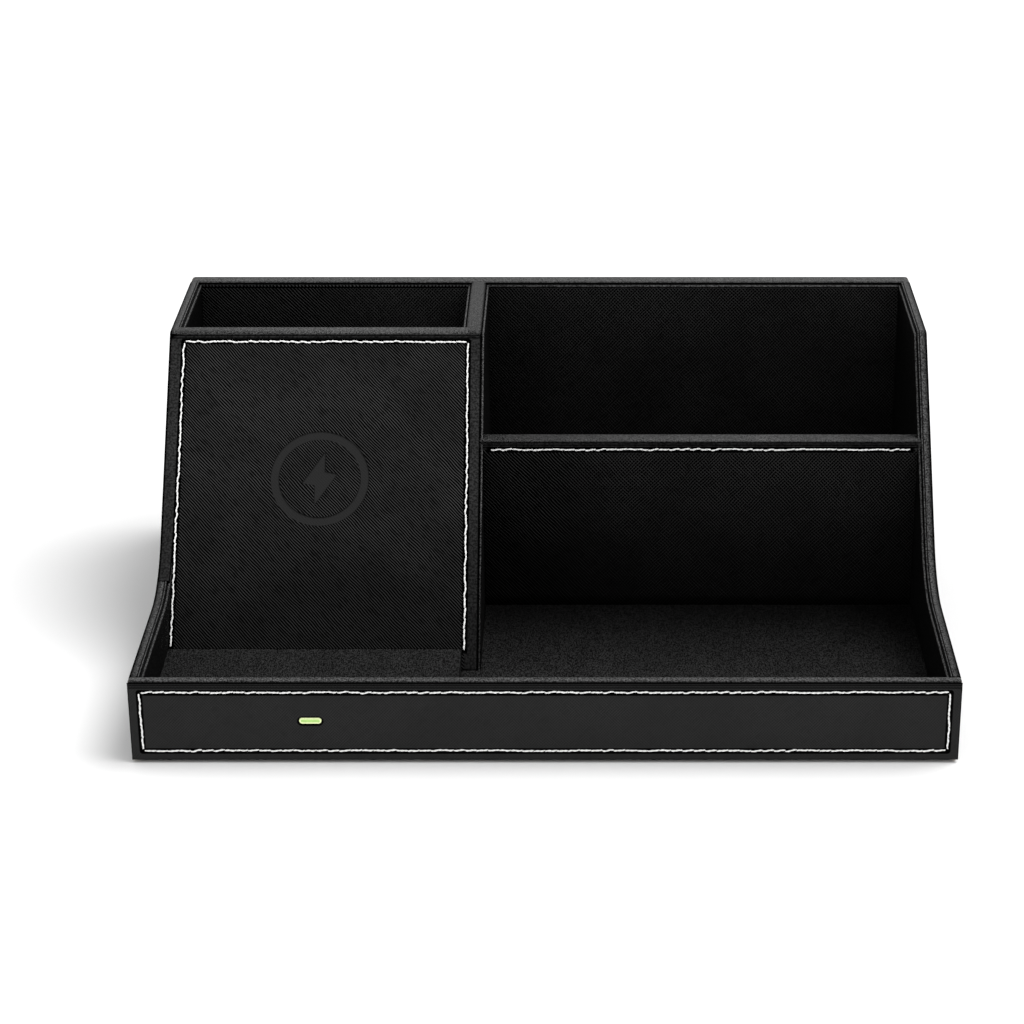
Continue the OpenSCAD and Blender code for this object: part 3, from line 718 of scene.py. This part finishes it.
def build_long_linings():
    """Linings from front to back: each stands against a wall at x, and facing says which way it looks."""
    foot = corners("centre_divider_lining")[0].z
    side = (side_path[:-1] + [(np.array((back_low.y, TOP_Z)), side_path[-1][1])], BASE_Z + 5)
    divider = (round_path([(slope_y(foot), foot), (TOP_Y, TOP_Z), (back_low.y, TOP_Z)], (CORNER_R,)), foot)
    for name, node, x, facing, (path, low_z) in (
            ("left_lining", "left_side_lining", left_high.x, 1, side),
            ("right_lining", "right_side_lining", right_low.x, -1, side),
            ("divider_lining_left", "centre_divider_lining", divider_low.x, -1, divider),
            ("divider_lining_right", "centre_divider_lining", divider_high.x, 1, divider)):
        # the edge takes the rims' lighter leather, the face the dark lining copy, whose darkness is painted
        # shade
        wall(name, node, [rim_leather, lining_leather], plain(path, lining_section()),
             lambda s, z, a: (x + facing * a, s, z), low_z, hollow=False)


def build_cross_linings():
    """Linings that run across, each against a wall at y."""
    rows = [
        ("front_inner_lining", "front_lining", -BAY_X, BAY_X, front_high.y, 1, lining_leather),
        ("pen_slot_back_lining", "back_lining", -BAY_X, PHONE_X, back_low.y, -1, pen_leather),
        ("rear_bay_back_lining", "back_lining", DEEP_X, BAY_X, back_low.y, -1, bay_leather),
        ("rear_divider_back_lining", "rear_divider_lining", DEEP_X, BAY_X, rear_high.y, 1,
         lining_leather),
        ("pen_slot_front_lining", "pen_slot_lining", -BAY_X, PHONE_X, pen_high.y, 1, lining_leather),
    ]
    for name, node, x0, x1, y, facing, material in rows:
        low, high = corners(node)
        path = level_path(x0, x1, high.z + LINING_DROP)
        # an edge takes the rims' lighter leather over a darker face copy, whose darkness is painted shade
        edge = material if name == "pen_slot_back_lining" else rim_leather
        wall(name, node, [edge, material], plain(path, lining_section()),
             lambda s, z, a: (s, y + facing * a, z), low.z, hollow=False)


# ---------- Sheets: fine grids with pressed and stitched relief ----------


def grid_lines(start, stop, spacing, *fine):
    """Grid positions at a spacing, and closer ones within a reach of each fine place."""
    values = list(np.arange(start, stop, spacing)) + [stop]
    for centre, reach, step in fine:
        values = [v for v in values if abs(v - centre) > reach]
        values += list(np.arange(centre - reach, centre + reach + step / 2, step))
    inside = sorted(v for v in values if start <= v <= stop)
    lines = [start]
    for v in inside:
        if v - lines[-1] > 0.04:
            lines.append(v)
    lines[-1] = stop
    return np.array(lines)


def edge_fall(distance, radius):
    """Fall of a surface towards a rounded edge, at a distance inside it."""
    inside = np.clip(radius - distance, 0, radius)
    return radius - np.sqrt(radius ** 2 - inside ** 2)


def step_in(distance, start, width):
    """Smooth step from 0 to 1 across a width."""
    t = np.clip((distance - start) / width, 0, 1)
    return t * t * (3 - 2 * t)


def row_distance(u, v, start, end):
    """Distance from a stitch row, and place along it."""
    way = np.subtract(end, start)
    length = float(np.hypot(*way))
    way = way / length
    along = (u - start[0]) * way[0] + (v - start[1]) * way[1]
    beyond = np.maximum(np.maximum(-along, along - length), 0)
    aside = (v - start[1]) * way[0] - (u - start[0]) * way[1]
    return np.hypot(aside, beyond), along, length


def stitch_steps(length):
    """Length of a stitch, so that a whole number fills the row."""
    span = length - THREAD_W
    return span / round(span / STITCH_PITCH)


def stitch_relief(u, v, rows):
    """Channel that each row is sunk in, the needle holes in it, and the leather drawn in beside it, with
    painted shade along the channel.
    """
    fall = np.zeros_like(u)
    hollow = np.zeros_like(u)
    for start, end in rows:
        distance, along, length = row_distance(u, v, start, end)
        channel = 1 - step_in(distance, CHANNEL_R, 0.24)
        drawn = 0.1 * np.exp(-((distance / 1.5) ** 2))
        step = stitch_steps(length)
        nearest = np.round((along - THREAD_W / 2) / step) * step + THREAD_W / 2
        hole = np.exp(-(np.hypot(distance, along - nearest) / 0.4) ** 2)
        sunk = CHANNEL_DEPTH * channel + drawn * (1 - channel) + 0.25 * hole * channel
        fall = np.maximum(fall, sunk)
        hollow = np.maximum(hollow, 1 - step_in(distance, CHANNEL_DARK, 0.16))
    return fall, hollow


def sheet(name, node, material, u_lines, v_lines, place, relief, back_depth, keep=None):
    """A leather sheet on a fine grid, in place of a node.

    relief gives each point's fall, and its marks by name. keep picks the grid squares that are made.
    """
    u, v = np.meshgrid(u_lines, v_lines, indexing="ij")
    fall, marks = relief(u, v)
    back = np.maximum(back_depth(u, v), fall + 0.1)
    top = np.stack(place(u, v, -fall), axis=-1).reshape(-1, 3)
    bottom = np.stack(place(u, v, -back), axis=-1).reshape(-1, 3)
    rows, columns = u.shape
    count = rows * columns
    kept = np.ones((rows - 1, columns - 1), bool)
    if keep is not None:
        kept = keep((u[:-1, :-1] + u[1:, 1:]) / 2, (v[:-1, :-1] + v[1:, 1:]) / 2)
    around = np.pad(kept, 1)
    faces, walls = [], []
    for i, j in zip(*np.nonzero(kept)):
        a = int(i * columns + j)
        b, c, d = a + columns, a + columns + 1, a + 1
        faces.append((a, b, c, d))
        faces.append((a + count, d + count, c + count, b + count))
        for beside, p, q in ((around[i, j + 1], d, a), (around[i + 2, j + 1], b, c),
                             (around[i + 1, j], a, b), (around[i + 1, j + 2], c, d)):
            if not beside:
                walls.append((p, p + count, q + count, q))
    smooth = [True] * len(faces) + [False] * len(walls)
    obj = make_piece(name, np.concatenate((top, bottom)), faces + walls, [material], smooth)
    for mark, values in marks.items():
        set_mark(obj, mark, np.tile(values.reshape(-1), 2).astype(np.float32))
    face_outward(obj)
    stand_for(obj, node)


def plane(origin, along_u, along_v, out):
    """Placing function of a flat sheet: grid coordinates and height to millimetre points."""
    def place(u, v, h):
        return [o + u * a + v * b + h * c for o, a, b, c in zip(origin, along_u, along_v, out)]
    return place


def upright_plane(node):
    """Placing function on the front of a CAD sheet, by place across and height."""
    return plane((0, corners(node)[0].y, 0), (1, 0, 0), (0, 0, 1), (0, -1, 0))


slope_plane = plane((0, TOP_Y, TOP_Z), (1, 0, 0), (0, -COS_S, -SIN_S), (0, -SIN_S, COS_S))
SHEET_TOP = CORNER_RUN  # where the charging sheet starts, down the slope


def knee_place(u, v, h):
    """Placing function of the flap: down the slope, then round the knee."""
    turn = np.maximum(v - KNEE_START, 0) / KNEE_R
    straight = np.minimum(v, KNEE_START)
    angle = SLOPE - turn
    centre_y = KNEE_Y - KNEE_R * tan(SLOPE / 2)
    centre_z = RIM_Z + KNEE_R
    on_arc = turn > 0
    y = np.where(on_arc, centre_y + (KNEE_R - h) * np.sin(angle),
                 TOP_Y - straight * COS_S - h * SIN_S)
    z = np.where(on_arc, centre_z - (KNEE_R - h) * np.cos(angle),
                 TOP_Z - straight * SIN_S + h * COS_S)
    return u, y, z


def emblem_relief(u, v):
    """How far each point is inside the ring or the lightning bolt, from 0 to 1."""
    x, y = u - EMBLEM_X, EMBLEM_DROP - v
    radius = np.hypot(x, y)
    soft = 0.35
    band = step_in(RING_W / 2 - np.abs(radius - RING_R + RING_W / 2), -soft / 2, soft)
    half = [(1.7, 9.5), (-5.9, -1.6), (-1.7, -2.4)]
    bolt_points = half + [(-a, -b) for a, b in half]
    inside = np.zeros(u.shape, bool)
    nearest = np.full(u.shape, 1e3)
    for (x0, y0), (x1, y1) in zip(bolt_points, bolt_points[1:] + bolt_points[:1]):
        dx, dy = x1 - x0, y1 - y0
        inside ^= ((y0 > y) != (y1 > y)) & (x < x0 + (y - y0) * dx / (dy or 1e-9))
        t = np.clip(((x - x0) * dx + (y - y0) * dy) / (dx ** 2 + dy ** 2), 0, 1)
        nearest = np.minimum(nearest, np.hypot(x - x0 - t * dx, y - y0 - t * dy))
    bolt = step_in(np.where(inside, nearest, -nearest), -soft / 2, soft)
    return np.maximum(band, bolt)


def rolled_edge(distance):
    """Two creases along the rolled top edge of a sheet, and the dark line above it: their fall, and painted
    shade in the creases and as the dark line.
    """
    lines = sum(np.exp(-(((distance - at) / 0.2) ** 2)) for at in (0.8, 1.6))
    return 0.22 * lines, np.maximum(0.9 * lines, 1 - step_in(distance, 0.05, 0.2))


def outline(edges):
    """Mark of the narrow dark line round the outer edges of a sheet, painted shade."""
    return 1 - step_in(edges, 0.15, 0.35)


def stitched_relief(u, v, rows, edges, from_top, radius, sunk=0.0):
    """Fall and hollow mark, the painted shade, of a stitched sheet: rounded edges, a rolled top, and what
    else is sunk in it.
    """
    fall, hollow = stitch_relief(u, v, rows)
    crease, line = rolled_edge(from_top)
    return np.maximum(fall, sunk) + edge_fall(edges, radius) + crease, np.maximum(hollow, line)


def by_thread(*places):
    """Fine stretches of a grid, along stitch rows."""
    return [(place, 1.1, 0.13) for place in places]


def by_edge(*places):
    """Fine stretches of a grid, along a sheet's edges."""
    return [(place, 0.6, 0.1) for place in places]


def gap_back(distance):
    """Depth of a sheet's back: thinner near a rim, which leaves a dark gap behind the edge."""
    return SHEET - 0.3 * (1 - step_in(distance, 1.6, 0.8))


def charging_rows():
    low, high = corners("charging_stitching")
    left, right = low.x + THREAD_W / 2, high.x - THREAD_W / 2
    top = (TOP_Z - high.z) / SIN_S + THREAD_W / 2
    ledge_end = (TOP_Z - LEDGE_Z) / SIN_S - 0.3
    floor_end = (TOP_Z - low.z) / SIN_S
    return [((left, ledge_end), (left, top)), ((left, top), (right, top)), ((right, top), (right, floor_end))]


def build_charging_sheet():
    """The sheet down the slope: left of the divider it ends at the ledge, over the divider at the floor."""
    rows = charging_rows()
    left, top = rows[0][1]
    right = rows[1][1][0]
    ledge_end = (TOP_Z - LEDGE_Z) / SIN_S
    floor_end = (TOP_Z - FLOOR_Z) / SIN_S

    def relief(u, v):
        pressed = emblem_relief(u, v)
        edges = np.minimum(v - SHEET_TOP, panel_high.x - u)
        edges = np.where(v > KNEE_START, np.minimum(edges, u + BAY_X), edges)
        fall, hollow = stitched_relief(u, v, rows, edges, v - SHEET_TOP, 0.3, EMBLEM_DEPTH * pressed)
        border = (v < top) | (u > right)
        # painted shade: a dark line along the right edge and round the emblem's edges
        line = np.maximum(outline(panel_high.x - u), 1.6 * pressed * (1 - pressed))
        return fall, {"hollow": np.maximum(hollow, line), "pressed": pressed, "smooth": border}

    ring = RING_R + 0.5
    u_lines = grid_lines(-BAY_X, panel_high.x, 1.1, *by_thread(left, right), (panel_high.x, 0.5, 0.08),
                         (EMBLEM_X, ring, 0.23))
    v_lines = grid_lines(SHEET_TOP, floor_end, 1.1, *by_thread(top), (SHEET_TOP, 2.0, 0.1),
                         (ledge_end, 0.1, 0.1), (EMBLEM_DROP, ring, 0.23))
    sheet("charging_sheet", "charging_face_sheet", charging_leather, u_lines, v_lines, slope_plane, relief,
          lambda u, v: gap_back(v - SHEET_TOP), lambda u, v: (v < ledge_end) | (u > divider_low.x))


def build_charging_flap():
    """The charging sheet's left end, which covers the left wall's slope and runs on into its knee."""
    rows = charging_rows()
    left, top = rows[0][1]
    low_x, high_x = panel_low.x, -BAY_X  # from the wall's outer edge to the main sheet
    end = KNEE_START + FLAP_ARC * KNEE_R
    round_r = 3.0

    def relief(u, v):
        edges = np.minimum(np.minimum(v - SHEET_TOP, u - low_x), end - v)
        edges = np.where(v > KNEE_START, np.minimum(edges, high_x - u), edges)
        u_in, v_in = u - low_x - round_r, v - SHEET_TOP - round_r
        near_corner = np.maximum(round_r - np.hypot(u_in, v_in), -5)
        edges = np.where((u_in < 0) & (v_in < 0), np.minimum(edges, near_corner), edges)
        fall, hollow = stitched_relief(u, v, rows, np.maximum(edges, 0), v - SHEET_TOP, 0.3)
        border = (v < top) | (u < left)
        # painted shade: a dark line round the outer edges
        return fall, {"hollow": np.maximum(hollow, outline(edges)), "smooth": border}

    u_lines = grid_lines(low_x, high_x, 0.5, *by_edge(low_x), (high_x, 0.5, 0.12))
    v_lines = grid_lines(SHEET_TOP, end, 0.8, (SHEET_TOP, 2.0, 0.1), *by_edge(end))
    sheet("charging_sheet_flap", "charging_face_sheet", charging_leather, u_lines, v_lines, knee_place,
          relief, lambda u, v: gap_back(v - SHEET_TOP))


def front_rows():
    low, high = corners("front_stitching")
    half = THREAD_W / 2
    a, b = (low.x + half, low.z + half), (high.x - half, low.z + half)
    c, d = (high.x - half, high.z - half), (low.x + half, high.z - half)
    return [(a, b), (b, c), (c, d), (d, a)]


def stadium_distance(u, v, low, high):
    """Distance inside a stadium's outline that fills a box, negative outside it."""
    radius = (high.z - low.z) / 2
    x = np.maximum(np.abs(u - (low.x + high.x) / 2) - (high.x - low.x) / 2 + radius, 0)
    return radius - np.hypot(x, v - (low.z + high.z) / 2)


def build_front_sheet():
    low, high = corners("front_face_sheet")
    lens_low, lens_high = corners("led_lens")
    lens_x, lens_z = (lens_low.x + lens_high.x) / 2, (lens_low.z + lens_high.z) / 2
    rows = front_rows()

    def relief(u, v):
        edges = np.minimum(np.minimum(u - low.x, high.x - u), np.minimum(v - low.z, high.z - v))
        lens = stadium_distance(u, v, lens_low, lens_high)
        hole = step_in(lens, -0.22, 0.2)
        fall, hollow = stitched_relief(u, v, rows, edges, high.z - v, 0.35, LENS_HOLE * hole)
        # painted shade: a dark line round the edges, and black in the recess round the light
        line = np.maximum(outline(edges), step_in(lens, -0.75, 0.2))
        return fall, {"hollow": np.maximum(hollow, line)}

    (left, bottom), (right, top) = rows[0][0], rows[1][1]
    u_lines = grid_lines(low.x, high.x, 0.9, *by_thread(left, right), *by_edge(low.x, high.x),
                         (lens_x, 4.2, 0.15))
    v_lines = grid_lines(low.z, high.z, 0.9, *by_thread(bottom, top), *by_edge(low.z),
                         (high.z, 2.0, 0.1), (lens_z, 1.9, 0.12))
    sheet("front_sheet", "front_face_sheet", front_leather, u_lines, v_lines,
          upright_plane("front_face_sheet"), relief, lambda u, v: gap_back(high.z - v))


def divider_rows():
    low, high = corners("divider_stitching")
    z = (low.z + high.z) / 2
    return [((low.x, z), (high.x, z))]


def build_divider_sheet():
    low, high = corners("divider_face_sheet")
    rows = divider_rows()
    row_z = rows[0][0][1]

    def relief(u, v):
        edges = np.minimum(np.minimum(u - low.x, high.x - u), high.z - v)
        fall, hollow = stitched_relief(u, v, rows, edges, high.z - v, 0.35)
        return fall, {"hollow": hollow, "smooth": v > row_z}

    u_lines = grid_lines(low.x, high.x, 0.9, *by_edge(low.x, high.x))
    v_lines = grid_lines(low.z, high.z, 4.0, *by_thread(row_z), (high.z, 2.0, 0.1))
    sheet("divider_sheet", "divider_face_sheet", divider_leather, u_lines, v_lines,
          upright_plane("divider_face_sheet"), relief, lambda u, v: gap_back(high.z - v))


def floor_piece(name, node, x0, x1, y0, y1, z, rear_shade=0.0):
    """A floor sheet: it dips a little to its edges, isn't quite even and can have painted shade towards the
    rear.
    """
    def relief(u, v):
        edges = np.minimum(np.minimum(u - x0, x1 - u), np.minimum(v - y0, y1 - v))
        wave = 0.03 * (np.sin(u / 9.0 + 1.3) * np.sin(v / 7.0) + 1)
        # painted shade, growing towards the rear
        shade = rear_shade * step_in(v, y0 + 0.35 * (y1 - y0), 0.65 * (y1 - y0))
        return edge_fall(edges, 0.35) + wave * step_in(edges, 0, 3), {"hollow": shade}

    u_lines = grid_lines(x0, x1, 3.0, *by_edge(x0, x1))
    v_lines = grid_lines(y0, y1, 3.0, *by_edge(y0, y1))
    sheet(name, node, floor_leather, u_lines, v_lines, plane((0, 0, z), (1, 0, 0), (0, 1, 0), (0, 0, 1)),
          relief, lambda u, v: np.full_like(u, LINING))


def build_floors():
    front_y = corners("front_lining")[1].y
    sheet_y = corners("divider_face_sheet")[0].y
    foot_y, ledge_y = slope_y(FLOOR_Z), slope_y(LEDGE_Z)
    for name, node in (("rear_bay_floor", "rear_floor_sheet"), ("pen_slot_floor", "pen_slot_floor_sheet")):
        low, high = corners(node)
        floor_piece(name, node, low.x, high.x, low.y, high.y, high.z)
    floor_piece("front_bay_floor", "front_floor_sheet", DEEP_X, BAY_X, front_y, sheet_y, FLOOR_Z, 0.65)
    floor_piece("divider_foot_floor", "front_floor_sheet", divider_low.x, DEEP_X, front_y, foot_y, FLOOR_Z)
    floor_piece("phone_ledge", "phone_ledge_sheet", -BAY_X, PHONE_X + LINING, front_y, ledge_y, LEDGE_Z)
    build_ledge_end(front_y, foot_y, ledge_y)


def build_ledge_end(front_y, foot_y, ledge_y):
    """The leather down the ledge's right end, under its top sheet, with rounded edges."""
    bottom, top = FLOOR_Z - 0.5, LEDGE_Z - 0.3
    profile = [(front_y, bottom), (foot_y, bottom), (ledge_y, top), (front_y, top)]
    verts = [(x, y, z) for x in (PHONE_X + 0.02, PHONE_X + LINING) for y, z in profile]
    faces = [(3, 2, 1, 0), (4, 5, 6, 7)] + [(i, (i + 1) % 4, (i + 1) % 4 + 4, i + 4) for i in range(4)]
    end = make_piece("phone_ledge_end", verts, faces, [floor_leather], [True] * len(faces))
    bevel = end.modifiers.new("soft_edges", "BEVEL")
    bevel.width = 0.15 * MM
    bevel.segments = 3
    bevel.limit_method = "ANGLE"
    bevel.harden_normals = True
    stand_for(end, "phone_ledge_sheet")


# ---------- Thread ----------

PLY_R = 0.215  # radius of each of the thread's two plies
PLY_APART = 0.1  # from the thread's middle to a ply's
PLY_RINGS = 12
THREAD_DEPTH = 0.34  # of the thread's middle, below the leather
SWAY = 0.17  # how far needle holes stray from the row
BOW = 0.16  # how far a stitch bends between its holes
LEAN = 0.28  # how far a stitch lies aslant


def thread_row(verts, faces, start, end, place):
    """Two-ply stitches that sway from needle hole to needle hole, each lying a little aslant."""
    way = np.subtract(end, start)
    length = float(np.hypot(*way))
    way = way / length
    side = np.array((-way[1], way[0]))
    step = stitch_steps(length)
    count = round((length - THREAD_W) / step)
    sway = [0.0] + [rng.uniform(-SWAY, SWAY) for k in range(count - 1)] + [0.0]
    for k in range(count):
        begin = THREAD_W / 2 + k * step
        slant = LEAN * rng.uniform(0.3, 1.3)
        bow = rng.uniform(-BOW, BOW)
        turn = rng.uniform(0, 2 * pi)
        size = rng.uniform(0.92, 1.05)
        for ply in range(2):
            rings = []
            for i in range(PLY_RINGS + 1):
                t = i / PLY_RINGS
                ends = abs(2 * t - 1) ** 6
                along = begin + t * step
                twist = turn + ply * pi + 2 * pi * t * 1.25
                apart = PLY_APART * size * (1 - 0.4 * ends)
                lie = sway[k] + (sway[k + 1] - sway[k]) * t + bow * sin(2 * pi * t)
                aside = lie + slant * (t - 0.5) + apart * cos(twist)
                depth = THREAD_DEPTH + 0.12 * ends - 0.5 * apart * sin(twist)
                rings.append((along, aside, depth, PLY_R * size * (1 - 0.2 * ends)))
            add_tube(verts, faces, rings, lambda a, b, h: place(*(np.array(start) + way * a + side * b), h))


def add_tube(verts, faces, rings, place):
    """A closed tube: rings give place along and aside, depth below the face, and radius."""
    sides = 7
    first = len(verts)
    for along, aside, depth, radius in rings:
        for k in range(sides):
            t = 2 * pi * k / sides
            height = min(radius * sin(t) - depth, 0.0)
            verts.append(tuple(float(c) for c in place(along, aside + radius * cos(t), height)))
    for i in range(len(rings) - 1):
        for k in range(sides):
            a, b = first + i * sides + k, first + i * sides + (k + 1) % sides
            faces.append((a, b, b + sides, a + sides))
    faces.append(tuple(reversed(range(first, first + sides))))
    faces.append(tuple(range(len(verts) - sides, len(verts))))


def build_thread(name, node, rows, place):
    verts, faces = [], []
    for start, end in rows:
        thread_row(verts, faces, start, end, place)
    obj = make_piece(name, verts, faces, [white_thread], [True] * len(faces))
    face_outward(obj)
    stand_for(obj, node)


def build_threads():
    build_thread("charging_thread", "charging_stitching", charging_rows(), slope_plane)
    build_thread("front_thread", "front_stitching", front_rows(), upright_plane("front_face_sheet"))
    build_thread("divider_thread", "divider_stitching", divider_rows(), upright_plane("divider_face_sheet"))


# ---------- Indicator light ----------


def build_lens():
    """The light's lens: a raised pale rim round a sunk, brighter green window."""
    low, high = corners("led_lens")
    outer = (high.z - low.z) / 2
    rim = [(outer - 0.02, 1.9), (outer - 0.02, 0.25), (outer - 0.1, 0.08), (outer - 0.24, 0.02),
           (outer - 0.42, 0.06), (outer - 0.5, 0.2)]
    rings = rim + [(outer - 0.62, 0.22), (0.25, 0.2)]  # radius, and depth below the front
    verts, faces, which = [], [], []
    for radius, depth in rings:
        verts += [(x, low.y + depth, z) for x, z in stadium(low, high, radius, 12)]
    count = len(verts) // len(rings)
    for r in range(len(rings) - 1):
        for k in range(count):
            a, b = r * count + k, r * count + (k + 1) % count
            faces.append((a, b, b + count, a + count))
            which.append(0 if r + 1 < len(rim) else 1)
    faces += [tuple(range(count)), tuple(reversed(range(len(verts) - count, len(verts))))]
    which += [0, 1]
    smooth = [True] * (len(faces) - 2) + [False, False]
    obj = make_piece("led_window", verts, faces, [lens_rim, lens_core], smooth, which)
    face_outward(obj)
    stand_for(obj, "led_lens")


# ---------- Carried-over CAD nodes ----------


def dress_cad_nodes():
    board, green, plate = fibreboard(), circuit_board(), nickel()
    middle = (EMBLEM_X, TOP_Y * COS_S + TOP_Z * SIN_S - EMBLEM_DROP, 0)
    circuits = ("charger_board", "led_board", "usb_board")
    boards = [n for n in frame["nodes"] if n.endswith("_board") and n not in circuits]
    finishes = [
        (wound_copper(middle), ("charging_coil",)),
        (ferrite(), ("ferrite_sheet",)),
        (lining_leather, ("underside_sheet",)),
        (black_rubber, ("rubber_feet",)),
        (black_plastic, ("coil_housing", "housing_cover", "usb_bezel")),
        (plate, ("housing_screws", "usb_receptacle", "usb_bracket")),
        (green, circuits),
        (cable_jacket, ("power_cable", "led_cable")),
        (board, boards),
    ]
    for material, nodes in finishes:
        for name in nodes:
            slots = frame["nodes"][name].data.materials
            slots.clear()
            slots.append(material)


# ---------- Stage ----------

FLOOR_HALF = 6000.0  # millimetres, as all lengths
DAYLIGHT = 0.78  # strength of the even light from all round
KEY_POWER = 2.3
KEY_SIZE = radians(40)  # a wide key light, for soft shadows
KEY_TURN = (radians(-3), radians(28), 0)
CAMERA_PLACE = (0.01196, -0.85125, 0.4154)  # metres
CAMERA_DOWN = radians(23.48)  # how far the camera looks down
CAMERA_LENS = 96.1
CAMERA_SHIFT = -0.0695


def build_stage():
    size = FLOOR_HALF
    verts = [(x, y, 0.0) for x, y in ((-size, -size), (size, -size), (size, size), (-size, size))]
    f = Finish("pale_floor")
    faint = f.noise(0.02, detail=3)
    f.set(Base_Color=f.blend(faint, (0.86, 0.86, 0.86, 1), (0.88, 0.88, 0.88, 1)), Roughness=0.9,
          Specular_IOR_Level=0.0)
    floor = make_piece("floor", verts, [(0, 1, 2, 3)], [f.material])

    scene = bpy.context.scene
    scene.view_settings.view_transform = "Standard"
    world = bpy.data.worlds.new("studio")
    world.use_nodes = True
    background = world.node_tree.nodes["Background"]
    background.inputs["Color"].default_value = grey(1.0)
    background.inputs["Strength"].default_value = DAYLIGHT
    scene.world = world

    lamp = bpy.data.lights.new("key", "SUN")
    lamp.energy = KEY_POWER
    lamp.angle = KEY_SIZE
    key = bpy.data.objects.new("key", lamp)
    key.rotation_euler = KEY_TURN
    scene.collection.objects.link(key)

    camera = bpy.data.cameras.new("camera")
    camera.sensor_width = 36.0
    camera.lens = CAMERA_LENS
    camera.shift_x = CAMERA_SHIFT
    camera.clip_start = 0.01
    view = bpy.data.objects.new("camera", camera)
    view.location = CAMERA_PLACE
    view.rotation_euler = (pi / 2 - CAMERA_DOWN, 0, 0)
    scene.collection.objects.link(view)
    scene.camera = view


def main():
    build_stage()
    build_side_walls()
    build_front_and_back()
    build_dividers()
    build_long_linings()
    build_cross_linings()
    build_charging_sheet()
    build_charging_flap()
    build_front_sheet()
    build_divider_sheet()
    build_floors()
    build_threads()
    build_lens()
    dress_cad_nodes()
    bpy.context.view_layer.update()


main()
